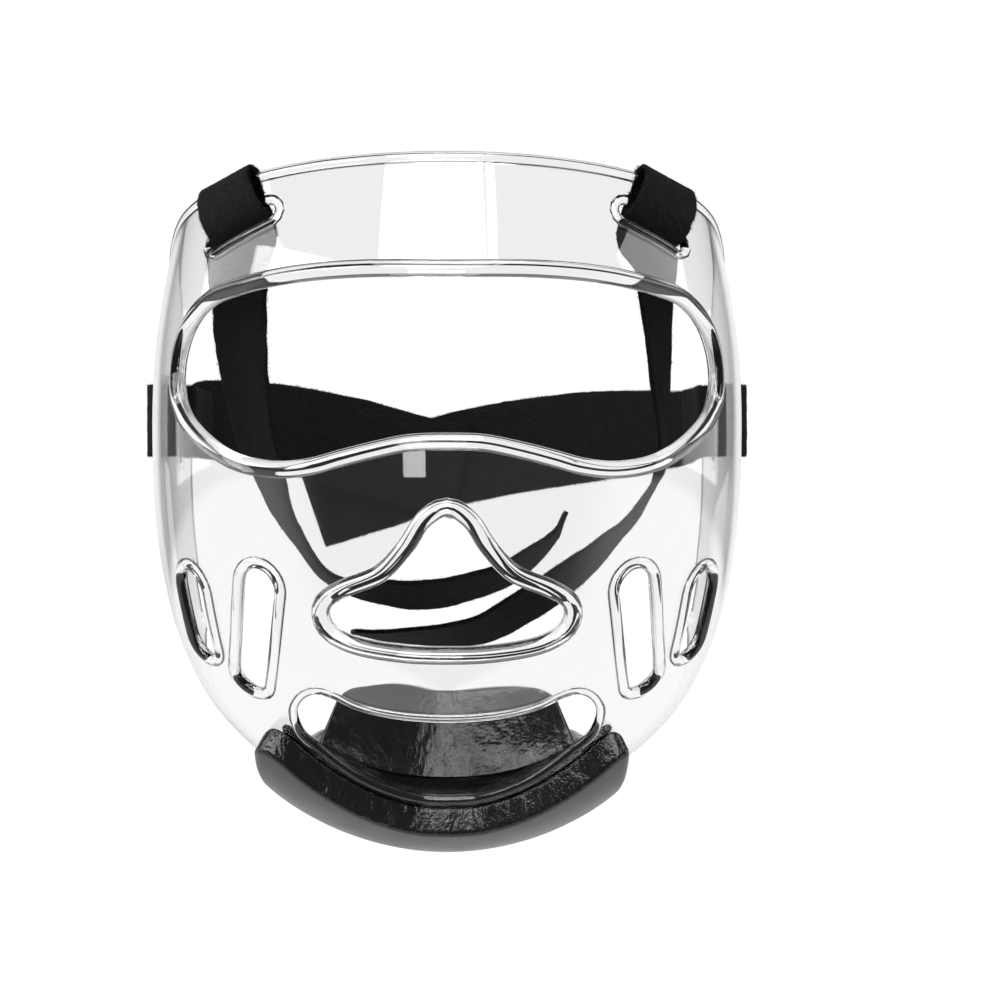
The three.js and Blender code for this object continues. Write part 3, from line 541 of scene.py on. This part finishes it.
topLoop = {  # from the short end behind the slot, over the lip and out of the slot again
    "frame": ["slot"] * 2 + ["edge"] * 8 + ["slot"] * 3,
    "up": [-1.1, 0.3, -2.2, -1.2, -0.5, 0.12, 0.36, 0.12, -0.55, -1.7, 1.43, 0.17, -0.5],
    "out": [-2.3, -2.0, -1.5, -1.15, -0.95, -0.65, 0, 0.7, 1.12, 1.3, 1.15, 0.42, -0.25],
    "walls": [1, 1, 0.7, 0.5, 0.5, 0.5, 0.5, 0.5, 0.5, 0.3, 0, 0, 1],
    "aside": [3.2, 2.8, 2.2, 1.8, 1.8, 1.8, 1.8, 1.8, 1.6, 1.2, 0.4, 0, 0],
}
sideLoop = {
    "rear": [3.73, 2.82, 1.91, 1, 0.36, 0, 0, 0.32, 0.82, 1.55, 2.27],
    "out": [-0.42, -0.55, -0.77, -0.74, -0.87, -0.23, 0.4, 1.5, 1.8, 1.15, 0.2],
    "walls": [0, 0, 0, 1, 1, 1, 0, 0, 0, 0, 0],
}


def tailStations(side, tail):
    out, drop = np.array(tail["out"]), np.array(tail["drop"])
    places = np.stack([side * outOf(out), depthOf(tail["depth"]), heightOf(drop)], -1)
    before = np.maximum(np.arange(len(out)) - 1, 0)
    after = np.minimum(np.arange(len(out)) + 1, len(out) - 1)
    along = unit(np.stack([
        side * outOf(out[after] - out[before]), 0 * out, heightOf(drop[after]) - heightOf(drop[before]),
    ], -1))
    turn = np.radians(tail["turn"])
    flat = side * np.cos(turn)
    across = np.stack([-along[:, 2] * flat, np.sin(turn), along[:, 0] * flat], -1)
    return places, across


def edgeFrame(side, slot):  # at the top edge, straight up from the slot's middle
    higher = stepOnShell(slot["spot"], slot["up"])
    share = slot["spot"][1] / (slot["spot"][1] - higher[1])
    angle = slot["spot"][0] + (higher[0] - slot["spot"][0]) * share
    place, around, _, out = shellFrame(angle, 0.0)
    axis = unit(around) * side + slot["axis"]  # half-way between the edge's slope and the slot's
    axis = unit(axis - out * (axis * out).sum())
    up = np.cross(axis, out)
    return {"place": place, "out": out, "axis": axis, "up": up * np.sign(up[2])}


def topStations(side, tail):
    slot = slotFrame(side)
    frames = {"slot": slot, "edge": edgeFrame(side, slot)}
    over = shellSizes["lipRadius"] + strapSizes["thickness"] / 2 + shellSizes["clearance"]
    places, across = [], []
    for name, upShare, outShare, walls, aside in zip(*topLoop.values()):
        base = frames[name]
        distance = outShare * over - walls * shellSizes["wall"]
        sideways = base["out"] * distance + base["axis"] * aside
        places.append(base["place"] + base["up"] * upShare * over + sideways)
        across.append(base["axis"])
    tailPlaces, tailAcross = tailStations(side, tail)
    places, across = np.vstack([places, tailPlaces]), np.vstack([across, tailAcross])
    return places, across, np.full(len(places), strapSizes["topWidth"])


def sideStations(side, run):
    spot = sideSlotSpot(side)
    place, around, _, out = shellFrame(spot[0], spot[1])
    back = unit(around) * side
    places, across = [], []
    for rear, outShare, walls in zip(*sideLoop.values()):
        distance = outShare * strapSizes["loopRise"] - walls * shellSizes["wall"]
        places.append(place + back * rear * sideSlot["inset"] + out * distance)
        across.append(np.array([0.0, 0.0, 1.0]))
    lean = np.radians(run["lean"])
    places += list(np.stack([side * outOf(run["out"]), depthOf(run["depth"]), heightOf(run["drop"])], -1))
    across += list(np.stack([0 * lean, np.sin(lean), np.cos(lean)], -1))
    bunched = strapSizes["bunchedWidth"]
    spread = np.array([0] * len(sideLoop["rear"]) + run["spread"])
    widths = bunched + (strapSizes["sideWidth"] - bunched) * spread
    return np.array(places), np.array(across), widths


def webbingFrames(places, across, widths, t):  # middle line, tangent, width and face directions
    width = np.interp(t * (len(places) - 1), np.arange(len(places)), widths)
    middle = curveThrough(places, t)
    nudge = 1e-4
    before, after = np.maximum(t - nudge, 0), np.minimum(t + nudge, 1)
    along = unit(curveThrough(places, after) - curveThrough(places, before))
    edge = curveThrough(places + across * np.asarray(widths)[:, None] / 2, t) - middle
    edge = unit(edge - along * (edge * along).sum(1, keepdims=True))
    return middle, along, edge, unit(np.cross(along, edge)), width


def buildStrap(name, stations, material):
    places, across, widths = stations
    steps = (len(places) - 1) * strapSizes["stepsPerPlace"]
    middle, along, edge, face, width = webbingFrames(places, across, widths, np.linspace(0, 1, steps + 1))
    half = strapSizes["thickness"] / 2
    lineAcross = np.linspace(-1, 1, strapSizes["acrossSteps"] + 1)
    turns = np.linspace(0, np.pi, 6)[1:-1]
    section = [(s, 0, half) for s in lineAcross]  # share across, overhang, height
    section += [(1, half * math.sin(a), half * math.cos(a)) for a in turns]
    section += [(-s, 0, -half) for s in lineAcross]
    section += [(-1, -half * math.sin(a), -half * math.cos(a)) for a in turns]
    section = np.array(section)
    ripple = random.normal(0, 1, (steps + 1, len(section)))
    for _ in range(2):
        ripple = (ripple + np.roll(ripple, 1, 0) + np.roll(ripple, 1, 1)) / 3
    wander = random.normal(0, 1, (steps + 1, 2))
    wander = (wander + np.roll(wander, 1, 0) + np.roll(wander, -1, 0)) * strapSizes["edgeWander"]
    isRim = np.abs(section[:, 0]) > 0.98
    sides = section[:, 0] * (width[:, None] / 2 - half) + section[:, 1]
    sides = sides + np.where(section[:, 0] > 0, wander[:, :1], wander[:, 1:]) * isRim
    heights = section[None, :, 2] + ripple * np.sign(section[:, 2]) * strapSizes["nap"]
    rings = middle[:, None] + edge[:, None] * sides[..., None] + face[:, None] * heights[..., None]
    index = np.arange(rings.shape[0] * rings.shape[1]).reshape(rings.shape[:2])
    faces = ringFaces(index).tolist() + [index[0][::-1].tolist(), index[-1].tolist()]
    piece = makeMesh(name + "_tape", rings.reshape(-1, 3), faces, material)
    seat(piece, "hook_and_loop", name)
    buildFuzz(name, middle, along, edge, face, width, material)


fuzzSizes = {
    "edgePerMillimetre": 8, "facePerMillimetre": 16, "length": 1.15, "thickness": 0.15,
    "shortest": 0.45, "longest": 1.15, "faceShare": 0.75, "lean": 0.55,
    "edgeInset": 0.25, "faceInset": 0.1, "margin": 1,
}


# Short fibres that stand off the edges and the pile face, each a closed sliver
def buildFuzz(name, middle, along, edge, face, width, material):
    sizes = fuzzSizes
    lengths = np.linalg.norm(np.diff(middle, axis=0), axis=1)
    reach = np.concatenate([[0], np.cumsum(lengths)])
    onEdges = sizes["edgePerMillimetre"] * 2
    perMillimetre = onEdges + sizes["facePerMillimetre"]
    total = int(reach[-1] * perMillimetre)
    where = random.uniform(0, reach[-1], total)

    def pick(columns):
        return np.stack([np.interp(where, reach, columns[:, k]) for k in range(3)], -1)

    centre, forward, side, up = pick(middle), unit(pick(along)), unit(pick(edge)), unit(pick(face))
    halfWidth = np.interp(where, reach, width) / 2
    halfThick = strapSizes["thickness"] / 2
    isEdge = random.uniform(0, 1, total) < onEdges / perMillimetre
    hand = np.where(random.uniform(0, 1, total) < 0.5, -1.0, 1.0)
    anyAcross = random.uniform(-1, 1, total) * (halfWidth - sizes["margin"])
    anyUp = random.uniform(-0.5, 0.5, total) * halfThick * 2
    acrossAt = np.where(isEdge, hand * (halfWidth - sizes["edgeInset"]), anyAcross)
    upAt = np.where(isEdge, anyUp, hand * (halfThick - sizes["faceInset"]))
    root = centre + side * acrossAt[:, None] + up * upAt[:, None]
    push = np.where(isEdge[:, None], side * hand[:, None], up * hand[:, None])
    lean = random.normal(0, sizes["lean"], (total, 3))
    direction = unit(push + lean)
    length = sizes["length"] * random.uniform(sizes["shortest"], sizes["longest"], total)
    tip = root + direction * (length * np.where(isEdge, 1, sizes["faceShare"]))[:, None]
    spare = unit(np.cross(direction, forward + 0.3 * lean))
    other = np.cross(direction, spare)
    half = sizes["thickness"] / 2
    points = np.stack([
        root + spare * half, root - spare * half * 0.5 + other * half,
        root - spare * half * 0.5 - other * half, tip], 1).reshape(-1, 3)
    base = np.arange(total)[:, None, None] * 4
    faces = (base + np.array([[0, 2, 1], [0, 1, 3], [1, 2, 3], [2, 0, 3]])).reshape(-1, 3)
    piece = makeMesh(name + "_pile", points, faces.tolist(), material)
    seat(piece, "hook_and_loop")


# Chin guard, liner and pad

jawLine = {  # where the chin pieces begin, from the middle to the reach in degrees
    "reach": 46,
    "across": [0, 0.13, 0.26, 0.4, 0.55, 0.68, 0.79, 0.9, 1],
    "v": [0.858, 0.858, 0.848, 0.832, 0.808, 0.783, 0.758, 0.757, 0.79],
}
jawCurve = columnCurve(jawLine["across"], jawLine["v"])


def jawAt(angle):
    return jawCurve(np.minimum(np.abs(angle) / math.radians(jawLine["reach"]), 1))


# A closed body from rings of points that close on themselves, with its two ends capped
def ringBody(name, rings, material):
    points = rings.reshape(-1, 3)
    index = np.arange(len(points)).reshape(rings.shape[:2])
    faces = ringFaces(index)
    corners = points[faces]
    normals = np.cross(corners[:, 2] - corners[:, 0], corners[:, 3] - corners[:, 1])
    if (corners.mean(1) * normals).sum() < 0:
        index = index[:, ::-1]
        faces = faces[:, ::-1]
    faces = faces.tolist() + [index[0].tolist()[::-1], index[-1].tolist()]
    return makeMesh(name, points, faces, material)


# A rectangle's outline with rounded corners, as a ring that starts at the front of its top edge
def roundedRing(height, depth, frontRound, backRound, flatSteps, endSteps, roundSteps):
    ring = []
    corners = [  # centre of each round, its radius and its first angle
        (frontRound, depth - frontRound, frontRound, 180, 90),
        (height - frontRound, depth - frontRound, frontRound, 90, 0),
        (height - backRound, backRound, backRound, 0, -90),
        (backRound, backRound, backRound, -90, -180),
    ]
    for i, (x, y, radius, first, last) in enumerate(corners):
        for angle in np.radians(np.linspace(first, last, roundSteps)):
            ring.append((x + radius * math.cos(angle), y + radius * math.sin(angle)))
        nextX, nextY, nextRadius, nextFirst, _ = corners[(i + 1) % 4]
        start = np.array(ring[-1])
        turn = math.radians(nextFirst)
        end = np.array([nextX + nextRadius * math.cos(turn), nextY + nextRadius * math.sin(turn)])
        steps = flatSteps if i % 2 == 0 else endSteps
        for share in np.linspace(0, 1, steps + 1)[1:-1]:
            ring.append(tuple(start + (end - start) * share))
    return np.array(ring)


def endStations(reach, radius, steps, roundSteps):  # denser where the ends round off
    turns = np.linspace(0, np.pi / 2, roundSteps)
    ends = reach - radius * (1 - np.sin(turns))
    middle = np.linspace(-ends[0], ends[0], steps)
    outer = ends[1:]
    return np.concatenate([-outer[::-1], middle, outer])


def endShare(share, radius):  # 1 along a piece, falling to 0 round its last radius, all as shares
    near = max(abs(share) - (1 - radius), 0) / radius
    return math.sqrt(max(1 - near ** 2, 0))


guardSizes = {
    "thickness": 10, "left": 43, "right": 40, "frontRound": 1.6, "backRound": 1.2, "endRound": 5,
    "endThickness": 0.3, "endInset": 0.6, "crown": 0.8, "taper": 40, "lift": 33,
    "ledgeDrop": 3.2, "ledgeShare": 0.6, "ledgeFront": 4, "flatSteps": 34, "endSteps": 8, "roundSteps": 6,
}


def buildGuard(face, ledge):
    sizes = guardSizes
    depth, endRound, endThickness = sizes["thickness"], sizes["endRound"], sizes["endThickness"]
    arm = shellSizes["width"] / 2
    left, right = (math.radians(sizes[key]) * arm for key in ("left", "right"))
    rings = []
    for share in endStations(1, endRound / left, 120, 9):
        reach = left if share < 0 else right
        angle = share * reach / arm
        shrink = endShare(share, endRound / reach)
        top = float(jawAt(angle))
        full = np.linalg.norm(np.diff(shellPoint(angle, np.linspace(top, 1, 20)), axis=0), axis=1).sum()
        taper = max(abs(share) * reach - (reach - sizes["taper"]), 0) / sizes["taper"]
        span = full - sizes["lift"] * taper ** 1.5
        ring = roundedRing(span, depth, sizes["frontRound"], sizes["backRound"],
                           sizes["flatSteps"], sizes["endSteps"], sizes["roundSteps"])
        outward = ring[:, 1] / depth
        slope = sizes["ledgeDrop"] * outward * np.clip(1 - ring[:, 0] / (sizes["ledgeShare"] * span), 0, 1)
        inset = endRound * sizes["endInset"] * (1 - shrink)
        down = inset + (ring[:, 0] + slope) * (span - 2 * inset) / span
        through = depth / 2 + (ring[:, 1] - depth / 2) * (endThickness + (1 - endThickness) * shrink)
        crown = sizes["crown"] * (np.sin(np.pi * np.clip(down / span, 0, 1)) * outward - 1)
        v = top + (1 - top) * down / full
        rings.append(offShell(np.full(len(v), angle), v, shellSizes["padGlue"] + through + crown))
    piece = ringBody("chin_guard_foam", np.array(rings), face)
    piece.data.materials.append(ledge)
    # the stretch over the top edge has a glossy skin
    total = len(rings[0])
    count = (len(rings) - 1) * total
    position = np.arange(count) % total
    backCorner = total - sizes["roundSteps"] - sizes["endSteps"] + 1
    flags = np.zeros(len(piece.data.polygons), np.int32)
    flags[:count] = (position >= backCorner) | (position < sizes["ledgeFront"])
    piece.data.polygons.foreach_set("material_index", flags)
    seat(piece, "chin_foam", "chin_guard")


linerSizes = {
    "thickness": 4, "reach": 39.5, "top": 0.014, "cornerDrop": 0.002, "back": 0.965,
    "rise": 21, "sideRise": 17, "swell": 1.4, "crown": 1.3, "endRound": 0.06, "endThickness": 0.3,
    "gather": 0.02, "gatherTurns": 150, "drift": 5, "driftTurns": 31,
}


# A point of the liner: across from -1 to 1, w down from its top edge, raised from the wall inward
def linerPlace(across, w, raised):
    sizes = linerSizes
    angle = across * math.radians(sizes["reach"])
    top = jawAt(angle) + sizes["top"] - sizes["cornerDrop"] * smoothStep((np.abs(across) - 0.8) / 0.2)
    v = top + (sizes["back"] - top) * w
    middle = np.clip(np.cos(across * np.pi / 2), 0, None) ** sizes["crown"]
    rise = sizes["rise"] * middle + sizes["sideRise"] * (1 - middle)
    thick = sizes["thickness"] + rise * np.clip(w, 0, None) ** sizes["swell"]
    return offShell(angle, v, -shellSizes["wall"] - shellSizes["padGlue"] - thick * raised)


def buildLiner(material):
    sizes = linerSizes
    ring = roundedRing(1, 1, 0.16, 0.05, 40, 8, 6)
    w = ring[:, 0]
    rings = []
    for across in endStations(1, sizes["endRound"], 110, 8):
        shrink = endShare(across, sizes["endRound"])
        shrink = sizes["endThickness"] + (1 - sizes["endThickness"]) * shrink
        u = (across + 1) / 2
        wave = np.sin(u * sizes["gatherTurns"] + sizes["drift"] * np.sin(u * sizes["driftTurns"]))
        gather = sizes["gather"] * wave * ring[:, 1] ** 4 * np.sin(np.pi * w)
        rings.append(linerPlace(across + 0 * w, w, 0.5 + (ring[:, 1] - 0.5) * shrink + gather))
    piece = ringBody("chin_liner_vinyl", np.array(rings), material)
    seat(piece, "chin_vinyl", "chin_liner")


padSizes = {
    "height": 25.5, "footFront": 0.5, "topFront": 0.84, "footReach": 0.86, "topReach": 0.74,
    "sweep": 0.42, "footSweep": 0.6, "hollow": 0.4, "endRound": 0.06, "endThickness": 0.25,
    # how far the wavy top edge stands above or below the pad's height
    "waveAcross": [-1, -0.93, -0.8, -0.62, -0.39, -0.17, 0.14, 0.49, 0.8, 0.93, 1],
    "waveRise": [-3, -0.4, 0.8, 1.3, 0.6, -1.1, -1.3, 0, 0.5, -0.8, -3],
}


def buildPad(material):
    sizes = padSizes
    waveAt = columnCurve(sizes["waveAcross"], sizes["waveRise"])
    ring = roundedRing(1, 1, 0.09, 0.1, 34, 7, 6)
    up = 1 - ring[:, 0]
    topLevel = linerPlace(0.0, 1.0, 1.0)[2] + sizes["height"]
    rings = []
    for across in endStations(1, sizes["endRound"], 120, 8):
        shrink = endShare(across, sizes["endRound"])
        shrink = sizes["endThickness"] + (1 - sizes["endThickness"]) * shrink
        through = 0.5 + (ring[:, 1] - 0.5) * shrink
        sweep = sizes["sweep"] * across ** 2
        footStand = 1 - (1 - sizes["footFront"]) * through - sweep * sizes["footSweep"]
        topStand = 1 - (1 - sizes["topFront"]) * through - sweep
        foot = linerPlace(across * sizes["footReach"] + 0 * up, footStand, 1.0)
        head = linerPlace(across * sizes["topReach"] + 0 * up, topStand, 1.0)
        head[:, 2] = topLevel + float(waveAt(across))
        foot[:, 2] += 2 * shellSizes["clearance"]
        # the front face is hollow, as the inside of a bowl is
        lift = np.clip(up, 0, 1) ** (1 - sizes["hollow"] * through)
        level = foot + (head - foot) * up[:, None]
        level[:, 1] = foot[:, 1] + (head[:, 1] - foot[:, 1]) * lift
        rings.append(level)
    piece = ringBody("chin_pad_vinyl", np.array(rings), material)
    seat(piece, "chin_vinyl", "chin_pad")


# Materials

def injectionMouldedPolycarbonate():
    # moulded in a polished tool, so it is glossy, with a trace of haze from handling and a slow
    # waviness from the flow of the plastic
    sizes = {"hazePatch": 16.7, "flowWave": 71.4}
    material, tree = newMaterial("injectionMouldedPolycarbonate")
    place = addNode(tree, "ShaderNodeTexCoord").outputs["Object"]
    haze = addNode(tree, "ShaderNodeTexNoise", {"Scale": perMetre(sizes["hazePatch"]), "Detail": 4},
                   {"Vector": place})
    rough = addNode(tree, "ShaderNodeMapRange", {
        "From Min": 0.35, "From Max": 0.75, "To Min": 0.0, "To Max": 0.05,
    }, {"Value": haze.outputs["Fac"]})
    flow = addNode(tree, "ShaderNodeTexNoise", {"Scale": perMetre(sizes["flowWave"]), "Detail": 1},
                   {"Vector": place})
    wave = addNode(tree, "ShaderNodeBump", {"Strength": 0.12, "Distance": 1 * mm},
                   {"Height": flow.outputs["Fac"]})
    shader = addNode(tree, "ShaderNodeBsdfPrincipled", {
        "Base Color": linearColour("f4f4f5"), "IOR": 1.585, "Transmission Weight": 1.0, "Metallic": 0.0,
    }, {"Roughness": rough.outputs["Result"], "Normal": wave.outputs["Normal"]})
    addNode(tree, "ShaderNodeOutputMaterial", links={"Surface": shader.outputs["BSDF"]})
    return material


def pressedEvaFoam():
    # closed-cell foam pressed in a smooth mould: satin, with a fine leathery skin. A grain as fine
    # as such a skin has wouldn't show, so it is drawn as coarse as it needs to be
    sizes = {"skinGrain": 0.714, "patch": 28.6}
    material, tree = newMaterial("pressedEvaFoam")
    place = addNode(tree, "ShaderNodeTexCoord").outputs["Object"]
    skin = addNode(tree, "ShaderNodeTexNoise", {"Scale": perMetre(sizes["skinGrain"]), "Detail": 3},
                   {"Vector": place})
    patch = addNode(tree, "ShaderNodeTexNoise", {"Scale": perMetre(sizes["patch"]), "Detail": 3},
                    {"Vector": place})
    rough = addNode(tree, "ShaderNodeMapRange", {
        "From Min": 0.3, "From Max": 0.7, "To Min": 0.36, "To Max": 0.46,
    }, {"Value": patch.outputs["Fac"]})
    bump = addNode(tree, "ShaderNodeBump", {"Strength": 0.25, "Distance": 0.2 * mm},
                   {"Height": skin.outputs["Fac"]})
    shader = addNode(tree, "ShaderNodeBsdfPrincipled", {
        "Base Color": linearColour("2b2c30"), "IOR": 1.5, "Metallic": 0.0,
    }, {"Roughness": rough.outputs["Result"], "Normal": bump.outputs["Normal"]})
    addNode(tree, "ShaderNodeOutputMaterial", links={"Surface": shader.outputs["BSDF"]})
    return material


def calenderedVinyl():
    # thin glossy vinyl over foam: grained, and crinkled where it is gathered. The grain is drawn
    # coarser than such a cover's own, so that it shows
    sizes = {"grain": 1.11, "crinkle": 5.26}
    material, tree = newMaterial("calenderedVinyl")
    place = addNode(tree, "ShaderNodeTexCoord").outputs["Object"]
    grain = addNode(tree, "ShaderNodeTexVoronoi", {"Scale": perMetre(sizes["grain"])}, {"Vector": place})
    stretched = addNode(tree, "ShaderNodeMapping", {"Scale": (1.0, 0.7, 0.55)}, {"Vector": place})
    crinkle = addNode(tree, "ShaderNodeTexNoise", {
        "Scale": perMetre(sizes["crinkle"]), "Detail": 5, "Distortion": 0.8,
    }, {"Vector": stretched.outputs["Vector"]})
    fine = addNode(tree, "ShaderNodeBump", {"Strength": 0.4, "Distance": 0.2 * mm},
                   {"Height": grain.outputs["Distance"]})
    bump = addNode(tree, "ShaderNodeBump", {"Strength": 0.75, "Distance": 1 * mm},
                   {"Height": crinkle.outputs["Fac"], "Normal": fine.outputs["Normal"]})
    shader = addNode(tree, "ShaderNodeBsdfPrincipled", {
        "Base Color": linearColour("0c0c0e"), "IOR": 1.52, "Roughness": 0.17, "Metallic": 0.0,
    }, {"Normal": bump.outputs["Normal"]})
    addNode(tree, "ShaderNodeOutputMaterial", links={"Surface": shader.outputs["BSDF"]})
    return material


def nappedNylonLoop():
    # brushed nylon loop: deep black, with a soft light edge where the nap catches the light. The
    # loops are drawn coarser than such tape's own, so that they show
    sizes = {"loop": 0.667}
    material, tree = newMaterial("nappedNylonLoop")
    place = addNode(tree, "ShaderNodeTexCoord").outputs["Object"]
    pile = addNode(tree, "ShaderNodeTexNoise", {"Scale": perMetre(sizes["loop"]), "Detail": 5},
                   {"Vector": place})
    colour = addNode(tree, "ShaderNodeValToRGB", links={"Fac": pile.outputs["Fac"]})
    for element, (position, code) in zip(colour.color_ramp.elements, ((0.38, "020202"), (0.68, "1a1716"))):
        element.position, element.color = position, linearColour(code)
    bump = addNode(tree, "ShaderNodeBump", {"Strength": 0.8, "Distance": 0.6 * mm},
                   {"Height": pile.outputs["Fac"]})
    shader = addNode(tree, "ShaderNodeBsdfPrincipled", {
        "IOR": 1.53, "Roughness": 0.95, "Metallic": 0.0, "Specular IOR Level": 0.15,
        "Sheen Weight": 0.06, "Sheen Roughness": 0.5, "Sheen Tint": linearColour("6a6462"),
    }, {"Base Color": colour.outputs["Color"], "Normal": bump.outputs["Normal"]})
    addNode(tree, "ShaderNodeOutputMaterial", links={"Surface": shader.outputs["BSDF"]})
    return material


# Camera, floor and light

def setCamera():
    sizes = {"distance": 1.122, "height": -0.103, "lens": 112.2, "shift": 0.053}
    camera = bpy.data.objects.new("camera", bpy.data.cameras.new("camera"))
    bpy.context.scene.collection.objects.link(camera)
    camera.location = (0, -sizes["distance"], sizes["height"])
    camera.rotation_euler = (math.pi / 2, 0, 0)
    camera.data.lens = sizes["lens"]
    camera.data.sensor_width = 36
    camera.data.shift_x = sizes["shift"]
    camera.data.clip_start, camera.data.clip_end = 0.05, 50
    bpy.context.scene.camera = camera


def litTentFabric():
    # white tent fabric that glows as if lit from outside: painted light, even behind the shield and under
    # it,
    #     # and painted shade, grey, beside and in front, which draws dark lines into the clear beads
    sizes = {  # each edge goes from dark to lit, by distance for the floor and by bearing for the rest
        "white": 1.03, "grey": 0.18, "floorEdge": [1.9, 1.2], "frontEdge": [-0.85, -0.5],
        "backEdge": [0.8, 0.93],
    }
    material, tree = newMaterial("litTentFabric")
    place = addNode(tree, "ShaderNodeNewGeometry")
    axes = addNode(tree, "ShaderNodeSeparateXYZ", links={"Vector": place.outputs["Position"]}).outputs
    level = addNode(tree, "ShaderNodeCombineXYZ", links={"X": axes["X"], "Y": axes["Y"]})
    reach = addNode(tree, "ShaderNodeVectorMath", {"operation": "LENGTH"}, {0: level.outputs["Vector"]})
    facing = addNode(tree, "ShaderNodeMath", {"operation": "DIVIDE"},
                     {0: axes["Y"], 1: reach.outputs["Value"]})
    ramps = []
    for source, key in ((facing, "backEdge"), (reach, "floorEdge"), (facing, "frontEdge")):
        ramp = addNode(tree, "ShaderNodeMapRange", {
            "interpolation_type": "SMOOTHSTEP", "From Min": sizes[key][0], "From Max": sizes[key][1],
        }, {"Value": source.outputs["Value"]})
        ramps.append(ramp.outputs["Result"])
    back, near, rear = ramps
    under = addNode(tree, "ShaderNodeMath", {"operation": "MULTIPLY"}, {0: near, 1: rear})
    lit = addNode(tree, "ShaderNodeMath", {"operation": "MAXIMUM"}, {0: back, 1: under.outputs["Value"]})
    strength = addNode(tree, "ShaderNodeMapRange", {"To Min": sizes["grey"], "To Max": sizes["white"]},
                       {"Value": lit.outputs["Value"]})
    glow = addNode(tree, "ShaderNodeEmission", {"Color": linearColour("ffffff")},
                   {"Strength": strength.outputs["Result"]})
    addNode(tree, "ShaderNodeOutputMaterial", links={"Surface": glow.outputs["Emission"]})
    return material


def buildStage():
    sizes = {
        "floor": -0.30, "inner": [0.0001, 0.7, 1.4], "flat": 2.2, "sweep": 1.1, "rise": 2.4, "around": 96,
    }
    turn = np.linspace(0, np.pi / 2, 12)
    curved = sizes["flat"] + sizes["sweep"] * np.sin(turn)
    radii = np.concatenate([sizes["inner"], curved, [sizes["flat"] + sizes["sweep"]]])
    lifted = sizes["sweep"] * (1 - np.cos(turn))
    heights = np.concatenate([[0, 0, 0], lifted, [sizes["rise"]]]) + sizes["floor"]
    around = np.linspace(0, 2 * np.pi, sizes["around"], endpoint=False)
    points = np.stack([
        radii[:, None] * np.cos(around), radii[:, None] * np.sin(around), heights[:, None] + 0 * around,
    ], -1)
    index = np.arange(points.shape[0] * points.shape[1]).reshape(points.shape[:2])
    floor = makeMesh("stage_floor", points.reshape(-1, 3) / mm, ringFaces(index).tolist(), litTentFabric())


def addLight(name, place, target, size, radiance):  # a softbox, by how bright its face looks
    data = bpy.data.lights.new(name, "AREA")
    data.shape = "RECTANGLE"
    data.size, data.size_y = size
    data.energy = radiance * math.pi * size[0] * size[1]
    lamp = bpy.data.objects.new(name, data)
    bpy.context.scene.collection.objects.link(lamp)
    lamp.location = place
    direction = Vector(target) - Vector(place)
    lamp.rotation_euler = direction.to_track_quat("-Z", "Y").to_euler()
    lamp.visible_camera = False


middle = (0, 0.05, -0.08)
lamps = {  # where it stands, what it points at, its size, and how bright its face looks
    "softbox_brow": [(-0.08, -1.01, 0.82), (-0.08, 0, 0), (0.56, 1.44), 5.2],
    "strip_brow": [(0.24, -0.84, 1.0), (0.24, 0, 0), (0.05, 0.84), 6],
    "softbox_side": [(-0.94, -0.85, 0.55), (0, 0, 0), (1.2, 0.6), 5.6],
    "softbox_top": [(0.1, -0.22, 1.5), middle, (0.5, 0.5), 6],
    "softbox_left": [(-1.41, -0.12, 0.72), middle, (1.3, 0.6), 2.8],
    "softbox_right": [(1.41, -0.12, 0.72), middle, (1.1, 0.5), 2.2],
    "panel_left": [(-1.5, 0.5, 0.05), middle, (0.9, 0.5), 1.4],
    "panel_right": [(1.5, 0.5, 0.05), middle, (0.9, 0.5), 1.4],
    "softbox_low": [(-0.06, -1.4, 0.1), (0, 0, -0.15), (0.34, 0.16), 9],
    "window_low": [(-0.17, -1.35, -0.2), (0, 0, -0.09), (0.12, 0.28), 5],
}


def setLight():
    world = bpy.data.worlds.new("studio")
    bpy.context.scene.world = world
    world.use_nodes = True
    background = world.node_tree.nodes["Background"]
    background.inputs["Color"].default_value = linearColour("ffffff")
    background.inputs["Strength"].default_value = 0.2
    for name, (place, target, size, radiance) in lamps.items():
        addLight(name, place, target, size, radiance)
    bpy.context.scene.view_settings.view_transform = "Standard"


setCamera()
buildStage()
setLight()
print("stage, camera and light are set")

shell = buildShell(injectionMouldedPolycarbonate())
seat(shell, "clear_polycarbonate", "shield")
print("shell is built:", len(shell.data.polygons), "faces")

loopTape = nappedNylonLoop()
buildStrap("strap_top_left", topStations(-1, leftTail), loopTape)
buildStrap("strap_top_right", topStations(1, rightTail), loopTape)
buildStrap("strap_side_left", sideStations(-1, leftSideRun), loopTape)
buildStrap("strap_side_right", sideStations(1, rightSideRun), loopTape)
print("straps are built")

vinyl = calenderedVinyl()
buildGuard(pressedEvaFoam(), vinyl)
buildLiner(vinyl)
buildPad(vinyl)
print("chin pieces are built")
